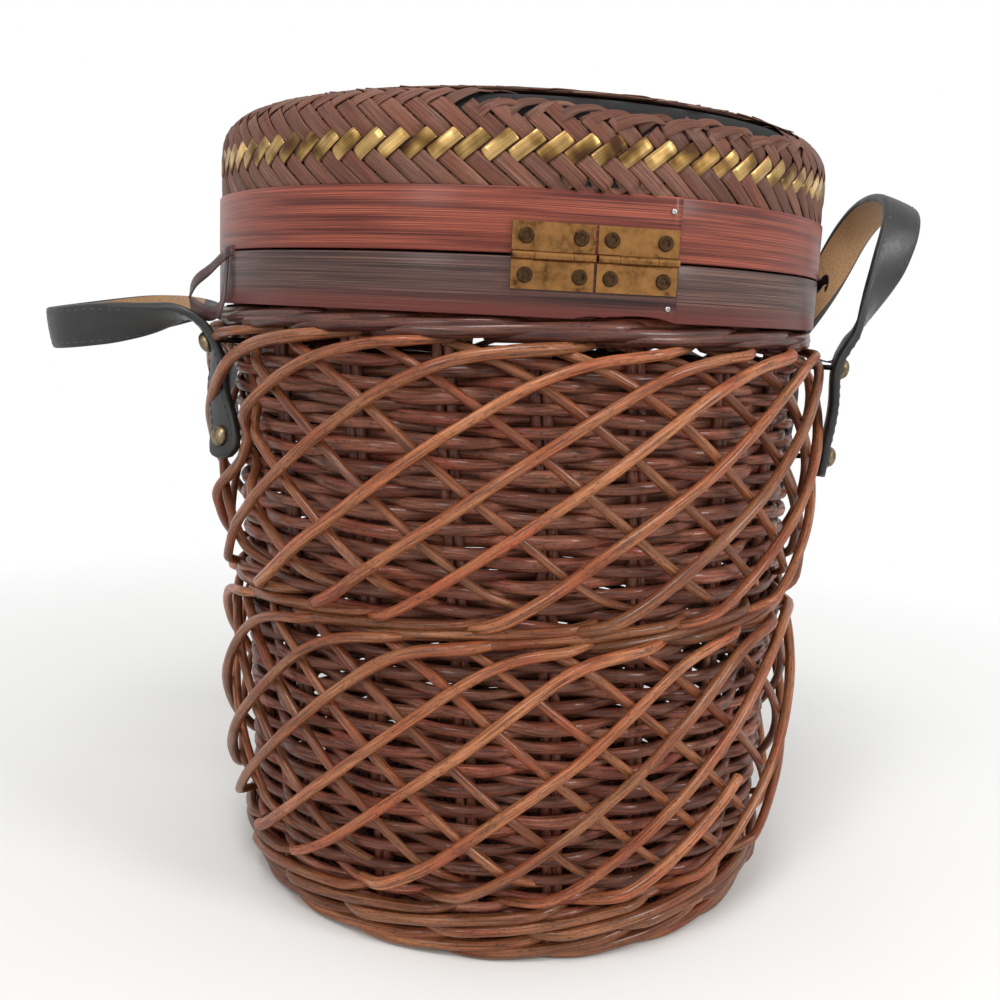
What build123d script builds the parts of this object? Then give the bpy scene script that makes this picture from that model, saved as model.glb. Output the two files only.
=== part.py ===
from build123d import *
from math import cos, pi, radians, sin, sqrt
import os

os.makedirs("parts", exist_ok=True)

# The basket stands on the floor with its axis on Z and its hinges towards -Y. All sizes are in millimetres.
# A turn is an angle round the axis, 0 at the hinges and positive towards +X.

# Clearances
seat_gap = 0.2
face_gap = 0.05
strap_gap = 0.35
pin_gap = 0.05
ring_gap = 0.3

# Cutters run past what they cut by this margin
cut_margin = 5.0

# Rim: two bent bamboo hoops, one on the basket and one on the lid, flattened where the hinges lie
rim_radius = 150.0
rim_flat_depth = 3.2
hoop_wall = 2.4
seam_height = 307.4
seam_gap = 0.9
basket_hoop_height = 23.0
lid_hoop_height = 25.0
lap_overhang = 0.8
lap_length = 12.0
inner_hoop_wall = 2.2

rim_flat = rim_radius - rim_flat_depth
basket_rim_top = seam_height - seam_gap / 2
basket_rim_bottom = basket_rim_top - basket_hoop_height
lid_bottom = seam_height + seam_gap / 2
lid_hoop_top = lid_bottom + lid_hoop_height

# Woven wall, a slightly tapered shell, with a collar that stands inside the basket's hoop
wall_rim_inset = 6.5
wall_taper = 9.5
wall_thickness = 9.0
wall_bottom = 10.2
collar_step = 3.0
wall_top_gap = 0.6
stake_count = 19
stake_turn = -8.3
stake_diameter = 4.2
stake_pair_gap = 0.5
stake_end_gap = 1.5

wall_top_radius = rim_radius - wall_rim_inset
wall_foot_radius = wall_top_radius - wall_taper
wall_top = basket_rim_bottom - wall_top_gap
wall_slope = (wall_top_radius - wall_foot_radius) / (wall_top - wall_bottom)
collar_top = basket_rim_top - seat_gap

# Base
foot_overhang = 3.5
foot_width = 26.5
foot_round = 4.0
base_stick_thickness = 2.2
base_stick_width = 9.0
base_stick_gap = 2.0
base_stick_count = 4
base_weave_thickness = 4.0

foot_outer_radius = wall_foot_radius + foot_overhang
foot_inner_radius = foot_outer_radius - foot_width
foot_height = wall_bottom - seat_gap

# Bands of rods round the foot, the waist and under the rim
foot_band_rod = 5.2
foot_band_count = 3
foot_band_pitch = 5.6
waist_rod = 5.0
waist_count = 2
waist_pitch = 5.3
waist_share = 0.52
border_rod = 5.6
border_count = 2

foot_band_start = foot_height + seat_gap + foot_band_rod / 2
foot_band_top = foot_band_start + (foot_band_count - 1) * foot_band_pitch + foot_band_rod / 2
waist_start = wall_bottom + waist_share * (wall_top - wall_bottom) - waist_pitch / 2
waist_under = waist_start - waist_rod / 2
waist_over = waist_start + (waist_count - 1) * waist_pitch + waist_rod / 2
border_start = basket_rim_bottom - seat_gap - border_rod / 2
border_under = border_start - (border_count - 1) * (border_rod + seat_gap) - border_rod / 2

# Lattice of rods over the wall: an inner layer that falls to the right and an outer layer that rises.
# The rise is in millimetres for each degree of turn.
lattice_rod = 4.6
lattice_layer_gap = 0.8
lattice_wall_gap = 0.5
lattice_end_gap = 0.4
lattice_tail_turn = 14.0
lattice_tail_drop = 8.0
lattice_rise = 1.93
lattice_step_turn = 9.0
upper_tier_bulge = 6.4
upper_outer_start = -1.0
upper_inner_start = -2.4
lower_tier_bulge = 4.5
lower_outer_start = -8.2
lower_inner_start = -1.5

upper_tier_bottom = waist_over + lattice_end_gap + lattice_rod / 2
upper_tier_top = border_under - lattice_end_gap - lattice_rod / 2
lower_tier_bottom = foot_band_top + lattice_end_gap + lattice_rod / 2
lower_tier_top = waist_under - lattice_end_gap - lattice_rod / 2

# Butt hinges
hinge_width = 33.0
hinge_pair_gap = 1.2
leaf_length = 12.8
leaf_thickness = 0.9
barrel_radius = 1.75
pin_radius = 0.85
middle_knuckle = 15.4
knuckle_gap = 0.2
leaf_screw_spread = 10.9
leaf_screw_drop = 7.4
screw_head_radius = 3.1
screw_head_height = 0.9
screw_shank_radius = 1.2
screw_recess_radius = 1.5
screw_recess_depth = 0.45
nail_head_radius = 1.15
dome_share = 0.8
nail_head_height = 0.7
nail_inset = 5.6
nail_from_lap = 3.6
nail_shank_radius = 0.5

barrel_y = -(rim_flat + face_gap + barrel_radius)
hinge_offset = hinge_width / 2 + hinge_pair_gap / 2
lap_edge = hinge_width + hinge_pair_gap / 2 + lap_overhang
nail_x = lap_edge - nail_from_lap

# Lid: plaited wall with a rounded shoulder, brass strips, black lining and top panel
plait_rim_inset = 1.4
plait_thickness = 1.4
plait_shoulder_radius = 17.0
plait_straight_height = 19.5
plait_flange = 6.0
brass_strip_count = 88
brass_strip_width = 6.4
brass_strip_length = 17.0
brass_strip_thickness = 0.4
brass_strip_tilt = 45.0
brass_band_rise = 14.6
lining_thickness = 0.8
panel_thickness = 1.6
panel_edge_inset = 2.0
panel_crown = 1.6

plait_radius = rim_radius - plait_rim_inset
plait_bottom = lid_hoop_top + seat_gap
shoulder_start = plait_bottom + plait_straight_height + plait_thickness
plait_top = shoulder_start + plait_shoulder_radius
plait_under = plait_top - plait_thickness
plait_inside = plait_radius - plait_thickness
shoulder_centre = plait_radius - plait_shoulder_radius
flange_edge = shoulder_centre - plait_flange
panel_radius = shoulder_centre - panel_edge_inset

# Handles: leather straps, each on two riveted tabs
handle_turns = {"left": -98.0, "right": 82.0}
handle_lift = {"left": -9.0, "right": 71.0}
strap_width = 20.0
strap_thickness = 3.4
strap_lining_thickness = 0.9
handle_spread = 43.7
handle_reach = 76.5
handle_twist_length = 26.0
handle_narrowing = 4.0
handle_corner_radius = 34.0
tab_tip_drop = 9.5
tab_bow = 2.8
tab_low_stand = {"left": 0.0, "right": 2.0}
tab_high_stand = {"left": 0.0, "right": 6.5}
tab_top_rise = 9.5
tab_curl_angle = 30.0
tab_tip_share = 0.45
tab_curl_length = 6.0
tab_straight = 8.0
tab_bend_radius = 12.0
tab_curl_radius = 4.0
twist_steps = 3
washer_slack = 0.4
upper_rivet_drop = 17.45
rivet_spacing = 45.0
rivet_cap_radius = 5.2
rivet_cap_height = 3.0
rivet_shank_radius = 1.5
rivet_tail_radius = 2.8
rivet_tail_height = 1.0
washer_radius = 5.0
washer_thickness = 1.2
rivet_hole_gap = 0.3
awl_start = 20.0
awl_length = 60.0
wire_diameter = 0.9
wire_spread = 3.0

upper_rivet_height = basket_rim_bottom - upper_rivet_drop
lower_rivet_height = upper_rivet_height - rivet_spacing
tab_top_height = upper_rivet_height + tab_top_rise
tab_tip_height = lower_rivet_height - tab_tip_drop

# Lid stays: thin brown strips between the hoops
stay_turns = {"left": -88.0, "right": 79.0}
stay_drop = {"left": 20.0, "right": 7.0}
stay_thickness = 0.5
stay_width = 7.0
stay_band = 3.0
stay_loop_width = {"left": 16.0, "right": 7.0}
stay_inside_drop = 17.0
stay_overhang = 2.2


def outward(turn):
    """Horizontal direction away from the axis at a turn."""
    return Vector(sin(radians(turn)), -cos(radians(turn)), 0)


def section_plane(turn, aside=0.0):
    """Upright plane at a turn: its x runs outward and its y runs up."""
    along = outward(turn).cross(Vector(0, 0, 1))
    return Plane(origin=along * aside, x_dir=outward(turn), z_dir=along)


def facing_plane(turn, distance, height, aside=0.0):
    """Upright plane square to the outward direction: its normal runs outward and its y runs up."""
    along = outward(turn).cross(Vector(0, 0, 1))
    place = outward(turn) * distance + along * aside + Vector(0, 0, height)
    return Plane(origin=place, x_dir=along * -1, z_dir=outward(turn))


def wall_radius(height):
    """Outer radius of the woven wall at a height."""
    return wall_foot_radius + wall_slope * (height - wall_bottom)


def bulge(height, bottom, top, swell):
    """How far a lattice tier swells out from the wall at a height."""
    share = min(1.0, max(0.0, (height - bottom) / (top - bottom)))
    return swell * sin(pi * share)


def rim_outline(inset):
    """Outline of a bent hoop, taken in by an inset, with its flat towards the hinges."""
    Circle(rim_radius - inset)
    with Locations((0, -(rim_flat - inset) - rim_radius)):
        Rectangle(2 * rim_radius, 2 * rim_radius, mode=Mode.SUBTRACT)


def screw_places(direction):
    """Places of the leaf screws above the pins for direction 1 and below them for -1."""
    places = []
    for side in (-1, 1):
        for spread in (-leaf_screw_spread, leaf_screw_spread):
            places.append((side * hinge_offset + spread, seam_height + direction * leaf_screw_drop))
    return places


def drill_leaf_screws(direction):
    """Screw holes through a hoop or a leaf, square to the rim's flat."""
    with BuildSketch(Plane.XZ.offset(rim_flat + barrel_radius)) as holes:
        with Locations(*screw_places(direction)):
            Circle(screw_shank_radius + pin_gap)
    extrude(holes.sketch, amount=-(barrel_radius + hoop_wall + face_gap), mode=Mode.SUBTRACT)


def drill_nail(height):
    """Nail hole at the lap of a hoop."""
    with BuildSketch(Plane.XZ.offset(rim_flat + cut_margin)) as hole:
        with Locations((nail_x, height)):
            Circle(nail_shank_radius + pin_gap)
    extrude(hole.sketch, amount=-(hoop_wall + cut_margin), mode=Mode.SUBTRACT)


def revolve_profile(*points):
    """Solid of revolution about Z from corner points (radius, height)."""
    with BuildSketch(Plane.XZ) as profile:
        with BuildLine():
            Polyline(*points, close=True)
        make_face()
    revolve(profile.sketch, axis=Axis.Z)


def finish_part(name, part):
    """Label a finished piece and write it."""
    part.label = name
    export_step(part, f"parts/{name}.step")


# Foot border, the flat ring that the basket stands on
with BuildPart() as foot_border:
    with BuildSketch(Plane.XY):
        Circle(foot_outer_radius)
        Circle(foot_inner_radius, mode=Mode.SUBTRACT)
    extrude(amount=foot_height)
    fillet(foot_border.edges().filter_by(GeomType.CIRCLE).sort_by(SortBy.RADIUS)[-2:], radius=foot_round)
finish_part("foot_border", foot_border.part)

# Crossed base sticks, one layer along X under one layer along Y, and the woven base on them
base_radius = wall_radius(wall_bottom) - wall_thickness - seat_gap
stick_spacing = base_stick_width + base_stick_gap
lower_stick_bottom = wall_bottom
upper_stick_bottom = lower_stick_bottom + base_stick_thickness + seat_gap
base_bottom = upper_stick_bottom + base_stick_thickness + seat_gap
base_top = base_bottom + base_weave_thickness
with BuildPart() as base_sticks:
    with BuildSketch(Plane.XY.offset(lower_stick_bottom)):
        with GridLocations(0, stick_spacing, 1, base_stick_count):
            Rectangle(2 * base_radius, base_stick_width)
        Circle(base_radius - seat_gap, mode=Mode.INTERSECT)
    extrude(amount=base_stick_thickness)
    with BuildSketch(Plane.XY.offset(upper_stick_bottom)):
        with GridLocations(stick_spacing, 0, base_stick_count, 1):
            Rectangle(base_stick_width, 2 * base_radius)
        Circle(base_radius - seat_gap, mode=Mode.INTERSECT)
    extrude(amount=base_stick_thickness)
finish_part("base_sticks", base_sticks.part)

with BuildPart() as base_weave:
    with BuildSketch(Plane.XY.offset(base_bottom)):
        Circle(base_radius)
    extrude(amount=base_weave_thickness)
finish_part("base_weave", base_weave.part)


def handle_rivet_places():
    """Planes of the handle rivets: turn, sideways place and height."""
    places = []
    for turn in handle_turns.values():
        for aside in (-handle_spread, handle_spread):
            for height in (lower_rivet_height, upper_rivet_height):
                places.append((turn, aside, height))
    return places


def drill_handle_rivets():
    """Awl holes for the handle rivets, through whatever lies between tab and washer."""
    for turn, aside, height in handle_rivet_places():
        with BuildSketch(facing_plane(turn, rim_radius + awl_start, height, aside)) as hole:
            Circle(rivet_shank_radius + rivet_hole_gap)
        extrude(hole.sketch, amount=-awl_length, mode=Mode.SUBTRACT)


# Channels in the wall's face hold the pairs of upright stakes
channel_width = 2 * stake_diameter + 3 * stake_pair_gap
channel_depth = stake_diameter + seat_gap
stake_bottom = wall_bottom + stake_end_gap
stake_top = wall_top - stake_end_gap


def stake_line(turn, aside, inset):
    """Ends of a line up the wall, sideways from a turn and inset from the wall's face."""
    along = outward(turn).cross(Vector(0, 0, 1))
    low = outward(turn) * (wall_radius(stake_bottom) - inset) + along * aside + Vector(0, 0, stake_bottom)
    high = outward(turn) * (wall_radius(stake_top) - inset) + along * aside + Vector(0, 0, stake_top)
    return low, high


with BuildPart() as wall_weave:
    revolve_profile(
        (wall_foot_radius - wall_thickness, wall_bottom),
        (wall_foot_radius, wall_bottom),
        (wall_top_radius, wall_top),
        (rim_radius - hoop_wall - seat_gap, basket_rim_bottom + wall_top_gap),
        (rim_radius - hoop_wall - seat_gap, collar_top),
        (wall_top_radius - wall_thickness + collar_step, collar_top),
        (wall_top_radius - wall_thickness + collar_step, wall_top + collar_step),
        (wall_top_radius - wall_thickness, wall_top),
    )
    with BuildSketch(Plane.XY.offset(basket_rim_bottom - seat_gap)):
        Circle(rim_radius + cut_margin)
        with BuildSketch(mode=Mode.SUBTRACT):
            rim_outline(hoop_wall + seat_gap)
    extrude(amount=basket_hoop_height + cut_margin, mode=Mode.SUBTRACT)
    for index in range(stake_count):
        turn = stake_turn + index * 360 / stake_count
        low, high = stake_line(turn, 0, 0)
        tilted = Plane(origin=low, x_dir=(high - low).normalized(), z_dir=outward(turn).cross(Vector(0, 0, 1)))
        with BuildSketch(tilted):
            with Locations(((high - low).length / 2, 0)):
                Rectangle((high - low).length + stake_end_gap, 2 * channel_depth)
        extrude(amount=channel_width / 2, both=True, mode=Mode.SUBTRACT)
    drill_handle_rivets()
finish_part("wall_weave", wall_weave.part)

with BuildPart() as stakes:
    for index in range(stake_count):
        turn = stake_turn + index * 360 / stake_count
        for side in (-1, 1):
            aside = side * (stake_diameter + stake_pair_gap) / 2
            low, high = stake_line(turn, aside, stake_diameter / 2 + seat_gap)
            with BuildSketch(Plane(origin=low, z_dir=(high - low).normalized())):
                Circle(stake_diameter / 2)
            extrude(amount=(high - low).length)
    drill_handle_rivets()
finish_part("stakes", stakes.part)


def ring_band(start, pitch, count, rod):
    """Rings of rod laid round the wall, a pitch apart in height."""
    for index in range(count):
        height = start + index * pitch
        ring_radius = wall_radius(height) + rod / 2 + ring_gap
        with BuildSketch(Plane.XZ) as rod_section:
            with Locations((ring_radius, height)):
                Circle(rod / 2)
        revolve(rod_section.sketch, axis=Axis.Z)


with BuildPart() as foot_band:
    ring_band(foot_band_start, foot_band_pitch, foot_band_count, foot_band_rod)
finish_part("foot_band", foot_band.part)

with BuildPart() as waist_band:
    ring_band(waist_start, waist_pitch, waist_count, waist_rod)
finish_part("waist_band", waist_band.part)

with BuildPart() as top_border:
    ring_band(border_start, -border_rod - seat_gap, border_count, border_rod)
finish_part("top_border", top_border.part)


def lattice_points(tier, layer, direction, start):
    """Corner points of one lattice rod from the foot of its tier to the top."""
    bottom, top, swell = tier
    middle_turn = (top - bottom - 2 * lattice_tail_drop) / lattice_rise
    whole_turn = middle_turn + 2 * lattice_tail_turn
    steps = round(whole_turn / lattice_step_turn)
    points = []
    for index in range(steps + 1):
        turned = whole_turn * index / steps
        if turned < lattice_tail_turn:
            height = bottom + lattice_tail_drop * turned / lattice_tail_turn
        elif turned > whole_turn - lattice_tail_turn:
            height = top - lattice_tail_drop * (whole_turn - turned) / lattice_tail_turn
        else:
            share = (turned - lattice_tail_turn) / middle_turn
            height = bottom + lattice_tail_drop + share * (top - bottom - 2 * lattice_tail_drop)
        radius = wall_radius(height) + lattice_wall_gap + lattice_rod / 2
        radius += layer * (lattice_rod + lattice_layer_gap) + bulge(height, bottom, top, swell)
        points.append(outward(start + direction * turned) * radius + Vector(0, 0, height))
    return points


def corner_radii(points):
    """Largest fillet for each corner, 0.45 of the shorter run beside it."""
    radii = []
    for before, corner, after in zip(points, points[1:], points[2:]):
        half_turn = radians((corner - before).get_angle(after - corner)) / 2
        run = min((corner - before).length, (after - corner).length)
        radii.append(0.45 * run / max(0.01, sin(half_turn) / cos(half_turn)))
    return radii


def lattice_layer(tier, layer, direction, start):
    """One layer of lattice rods, the same rod repeated round the basket."""
    points = lattice_points(tier, layer, direction, start)
    with BuildPart(mode=Mode.PRIVATE) as rod:
        with BuildLine() as route:
            FilletPolyline(*points, radius=corner_radii(points))
        with BuildSketch(Plane(origin=route.wire() @ 0, z_dir=route.wire() % 0)):
            Circle(lattice_rod / 2)
        sweep(path=route.wire())
    return rod.part


upper_tier = (upper_tier_bottom, upper_tier_top, upper_tier_bulge)
lower_tier = (lower_tier_bottom, lower_tier_top, lower_tier_bulge)
lattice_layers = {
    "upper_lattice_inner": (upper_tier, 0, -1, upper_inner_start),
    "upper_lattice_outer": (upper_tier, 1, 1, upper_outer_start),
    "lower_lattice_inner": (lower_tier, 0, -1, lower_inner_start),
    "lower_lattice_outer": (lower_tier, 1, 1, lower_outer_start),
}
for name, settings in lattice_layers.items():
    lattice_one = lattice_layer(*settings)
    with BuildPart() as lattice:
        with PolarLocations(0, stake_count):
            add(lattice_one)
        if name.startswith("upper"):
            drill_handle_rivets()
    finish_part(name, lattice.part)

# Basket hoop and lid hoop, each lapped over itself beside the hinges, and the hoops inside them
with BuildPart() as basket_hoop:
    with BuildSketch(Plane.XY.offset(basket_rim_bottom)):
        rim_outline(0)
        with Locations((lap_edge - lap_length / 2, hoop_wall / 2 - rim_flat)):
            Rectangle(lap_length, hoop_wall)
    extrude(amount=basket_hoop_height)
    with BuildSketch(Plane.XY.offset(basket_rim_bottom)):
        rim_outline(hoop_wall)
    extrude(amount=basket_hoop_height, mode=Mode.SUBTRACT)
    drill_leaf_screws(-1)
    drill_nail(basket_rim_bottom + nail_inset)
finish_part("basket_hoop", basket_hoop.part)

with BuildPart() as lid_hoop:
    with BuildSketch(Plane.XY.offset(lid_bottom)):
        rim_outline(0)
        with Locations((lap_edge - lap_length / 2, hoop_wall / 2 - rim_flat)):
            Rectangle(lap_length, hoop_wall)
    extrude(amount=lid_hoop_height)
    with BuildSketch(Plane.XY.offset(lid_bottom)):
        rim_outline(hoop_wall)
    extrude(amount=lid_hoop_height, mode=Mode.SUBTRACT)
    drill_leaf_screws(1)
    drill_nail(lid_hoop_top - nail_inset)
finish_part("lid_hoop", lid_hoop.part)

inner_hoop_bottom = wall_top + collar_step + seat_gap
inner_hoop_radius = wall_top_radius - wall_thickness + collar_step - seat_gap
with BuildPart() as basket_inner_hoop:
    with BuildSketch(Plane.XY.offset(inner_hoop_bottom)):
        Circle(inner_hoop_radius)
        Circle(inner_hoop_radius - inner_hoop_wall, mode=Mode.SUBTRACT)
    extrude(amount=collar_top - inner_hoop_bottom)
finish_part("basket_inner_hoop", basket_inner_hoop.part)

skirt_outer_inset = hoop_wall + seat_gap
skirt_inner_inset = skirt_outer_inset + plait_thickness
lid_inner_inset = skirt_inner_inset + seat_gap
with BuildPart() as lid_inner_hoop:
    with BuildSketch(Plane.XY.offset(lid_bottom + seat_gap)):
        rim_outline(lid_inner_inset)
    extrude(amount=lid_hoop_height)
    with BuildSketch(Plane.XY.offset(lid_bottom + seat_gap)):
        rim_outline(lid_inner_inset + inner_hoop_wall)
    extrude(amount=lid_hoop_height, mode=Mode.SUBTRACT)
finish_part("lid_inner_hoop", lid_inner_hoop.part)


def lap_nail(height):
    """Small dome-headed nail at the lap of a hoop."""
    with BuildPart(mode=Mode.PRIVATE) as nail:
        with BuildSketch(Plane.XZ.offset(rim_flat + face_gap)):
            with Locations((nail_x, height)):
                Circle(nail_head_radius)
        extrude(amount=nail_head_height)
        fillet(nail.faces().sort_by(Axis.Y)[0].edges(), radius=dome_share * nail_head_height)
        with BuildSketch(Plane.XZ.offset(rim_flat + face_gap)):
            with Locations((nail_x, height)):
                Circle(nail_shank_radius)
        extrude(amount=-hoop_wall)
    return nail.part


finish_part("basket_hoop_nail", lap_nail(basket_rim_bottom + nail_inset))
finish_part("lid_hoop_nail", lap_nail(lid_hoop_top - nail_inset))


def barrel_cylinder(start, length, radius, mode):
    """Cylinder along X on the hinge line."""
    with BuildSketch(Plane(origin=(start, barrel_y, seam_height), z_dir=(1, 0, 0))) as ring:
        Circle(radius)
    extrude(ring.sketch, amount=length, mode=mode)


def hinge_leaf(centre, direction, knuckles):
    """Brass leaf above the hinge line for direction 1 or below it for -1, with its knuckles."""
    clear = barrel_radius + knuckle_gap
    with BuildPart(mode=Mode.PRIVATE) as leaf:
        with BuildSketch(Plane.XZ.offset(rim_flat + face_gap)):
            with Locations((centre, seam_height + direction * (clear + leaf_length) / 2)):
                Rectangle(hinge_width, leaf_length - clear)
            for start, length in knuckles:
                with Locations((centre + start + length / 2, seam_height + direction * clear / 2)):
                    Rectangle(length, clear + knuckle_gap)
        extrude(amount=leaf_thickness)
        for start, length in knuckles:
            barrel_cylinder(centre + start, length, barrel_radius, Mode.ADD)
        barrel_cylinder(centre - hinge_width, 2 * hinge_width, pin_radius + pin_gap, Mode.SUBTRACT)
        drill_leaf_screws(direction)
    return leaf.part


end_knuckle = (hinge_width - middle_knuckle) / 2 - knuckle_gap
end_knuckles = [(-hinge_width / 2, end_knuckle), (hinge_width / 2 - end_knuckle, end_knuckle)]
middle_knuckles = [(-middle_knuckle / 2, middle_knuckle)]
for side, centre in {"left": -hinge_offset, "right": hinge_offset}.items():
    finish_part(f"basket_hinge_leaf_{side}", hinge_leaf(centre, -1, end_knuckles))
    finish_part(f"lid_hinge_leaf_{side}", hinge_leaf(centre, 1, middle_knuckles))
    with BuildPart() as hinge_pin:
        with BuildSketch(Plane(origin=(centre - hinge_width / 2, barrel_y, seam_height), z_dir=(1, 0, 0))):
            Circle(pin_radius)
        extrude(amount=hinge_width)
    finish_part(f"hinge_pin_{side}", hinge_pin.part)


def leaf_screws(direction):
    """Round-headed fasteners with a hollow centre, four to a row of leaves."""
    face = rim_flat + face_gap + leaf_thickness + face_gap
    with BuildPart(mode=Mode.PRIVATE) as screws:
        with BuildSketch(Plane.XZ.offset(face)):
            with Locations(*screw_places(direction)):
                Circle(screw_head_radius)
        extrude(amount=screw_head_height)
        fillet(screws.edges().group_by(Axis.Y)[0], radius=screw_head_height / 2)
        with BuildSketch(Plane.XZ.offset(face + screw_head_height)):
            with Locations(*screw_places(direction)):
                Circle(screw_recess_radius)
        extrude(amount=-screw_recess_depth, mode=Mode.SUBTRACT)
        with BuildSketch(Plane.XZ.offset(face)):
            with Locations(*screw_places(direction)):
                Circle(screw_shank_radius)
        extrude(amount=-(leaf_thickness + hoop_wall))
    return screws.part


finish_part("basket_hinge_screws", leaf_screws(-1))
finish_part("lid_hinge_screws", leaf_screws(1))

# Plaited wall of the lid: a skirt between the hoops, a turn over the hoop's edge and a rounded shoulder
with BuildPart() as lid_plait:
    with BuildSketch(Plane.XY.offset(lid_bottom + seat_gap)):
        rim_outline(skirt_outer_inset)
    extrude(amount=plait_bottom + plait_thickness - lid_bottom - seat_gap)
    with BuildSketch(Plane.XY.offset(plait_bottom)):
        Circle(plait_radius)
    extrude(amount=plait_thickness)
    with BuildSketch(Plane.XY.offset(lid_bottom)):
        rim_outline(skirt_inner_inset)
    extrude(amount=lid_hoop_height + 2 * plait_thickness, mode=Mode.SUBTRACT)
    with BuildSketch(Plane.XZ):
        with BuildLine():
            Line((plait_radius, plait_bottom), (plait_radius, shoulder_start))
            CenterArc((shoulder_centre, shoulder_start), plait_shoulder_radius, 0, 90)
            Line((shoulder_centre, plait_top), (flange_edge, plait_top))
            Line((flange_edge, plait_top), (flange_edge, plait_under))
            Line((flange_edge, plait_under), (shoulder_centre, plait_under))
            CenterArc((shoulder_centre, shoulder_start), plait_shoulder_radius - plait_thickness, 90, -90)
            Line((plait_inside, shoulder_start), (plait_inside, plait_bottom))
            Line((plait_inside, plait_bottom), (plait_radius, plait_bottom))
        make_face()
    revolve(axis=Axis.Z)
finish_part("lid_plait", lid_plait.part)

# Black lining, a shallow cup inside the plait
lining_arc = plait_shoulder_radius - plait_thickness - seat_gap
lining_radius = shoulder_centre + lining_arc
lining_bottom = plait_bottom + plait_thickness + seat_gap
lining_top = shoulder_start + lining_arc
lining_under = lining_top - lining_thickness
lining_inside = lining_radius - lining_thickness
with BuildPart() as lid_lining:
    with BuildSketch(Plane.XZ):
        with BuildLine():
            Line((lining_radius, lining_bottom), (lining_radius, shoulder_start))
            CenterArc((shoulder_centre, shoulder_start), lining_arc, 0, 90)
            Line((shoulder_centre, lining_top), (0, lining_top))
            Line((0, lining_top), (0, lining_under))
            Line((0, lining_under), (shoulder_centre, lining_under))
            CenterArc((shoulder_centre, shoulder_start), lining_arc - lining_thickness, 90, -90)
            Line((lining_inside, shoulder_start), (lining_inside, lining_bottom))
            Line((lining_inside, lining_bottom), (lining_radius, lining_bottom))
        make_face()
    revolve(axis=Axis.Z)
finish_part("lid_lining", lid_lining.part)

# Top panel, slightly crowned
panel_bottom = plait_top + seat_gap
panel_curve = (panel_radius**2 + panel_crown**2) / (2 * panel_crown)
with BuildPart() as lid_top_panel:
    with BuildSketch(Plane.XZ):
        with BuildLine():
            Line((0, panel_bottom), (panel_radius, panel_bottom))
            Line((panel_radius, panel_bottom), (panel_radius, panel_bottom + panel_thickness))
            RadiusArc(
                (panel_radius, panel_bottom + panel_thickness),
                (0, panel_bottom + panel_thickness + panel_crown),
                -panel_curve,
            )
            Line((0, panel_bottom + panel_thickness + panel_crown), (0, panel_bottom))
        make_face()
    revolve(axis=Axis.Z)
finish_part("lid_top_panel", lid_top_panel.part)

# Ring of slanted brass-coloured strips, laid on the plait
with BuildPart(mode=Mode.PRIVATE) as brass_strip:
    with BuildSketch(facing_plane(0, plait_radius + 3 * face_gap, plait_bottom + brass_band_rise)):
        Rectangle(brass_strip_length, brass_strip_width, rotation=brass_strip_tilt)
    extrude(amount=brass_strip_thickness)
with BuildPart() as lid_brass_strips:
    with PolarLocations(0, brass_strip_count):
        add(brass_strip.part)
finish_part("lid_brass_strips", lid_brass_strips.part)

# Handle tabs: each runs up the wall over the lattice, bows out between its rivets and curls out at the top
strap_whole = strap_thickness + strap_lining_thickness
tab_inner_edge = handle_spread - strap_width / 2


def lattice_reach(height):
    """Outer radius of the upper lattice at a height."""
    reach = wall_radius(height) + lattice_wall_gap + 2 * lattice_rod + lattice_layer_gap
    return reach + bulge(height, upper_tier_bottom, upper_tier_top, upper_tier_bulge)


def tab_out(height):
    """How far out a tab's middle line lies where it rests on the lattice."""
    return sqrt(lattice_reach(height) ** 2 - tab_inner_edge**2) + strap_gap + strap_whole / 2


tab_low_out = {name: tab_out(lower_rivet_height) + stand for name, stand in tab_low_stand.items()}
tab_high_out = {name: tab_out(upper_rivet_height) + stand for name, stand in tab_high_stand.items()}
bow_height = (lower_rivet_height + upper_rivet_height) / 2
curl_cos = cos(radians(tab_curl_angle))
curl_sin = sin(radians(tab_curl_angle))
joint_step = tab_curl_length + strap_whole / 2 + strap_gap
joint_out = {name: tab_high_out[name] + joint_step * curl_cos for name in handle_turns}
joint_height = tab_top_height + joint_step * curl_sin


def handle_tab(name, aside):
    """One tab of a handle with its two rivet holes."""
    plane = section_plane(handle_turns[name], aside)
    low_out = tab_low_out[name]
    high_out = tab_high_out[name]
    tab_line = [
        (low_out, tab_tip_height),
        (low_out, lower_rivet_height + tab_straight),
        (max(low_out, high_out) + tab_bow, bow_height),
        (high_out, upper_rivet_height - tab_straight),
        (high_out, tab_top_height),
        (high_out + tab_curl_length * curl_cos, tab_top_height + tab_curl_length * curl_sin),
    ]
    tab_limits = 3 * [tab_bend_radius] + [tab_curl_radius]
    tab_radii = [min(pair) for pair in zip(corner_radii([Vector(*place) for place in tab_line]), tab_limits)]
    with BuildPart(mode=Mode.PRIVATE) as tab:
        with BuildLine(plane) as route:
            FilletPolyline(*tab_line, radius=tab_radii)
        start = Plane(origin=route.wire() @ 0, x_dir=plane.z_dir, z_dir=route.wire() % 0)
        with BuildSketch(start):
            Rectangle(strap_width, strap_whole)
        sweep(path=route.wire())
        tip_edges = tab.faces().sort_by(Axis.Z)[0].edges().sort_by(SortBy.LENGTH)[:2]
        fillet(tip_edges, radius=tab_tip_share * strap_width)
        drill_handle_rivets()
    return tab.part


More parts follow.
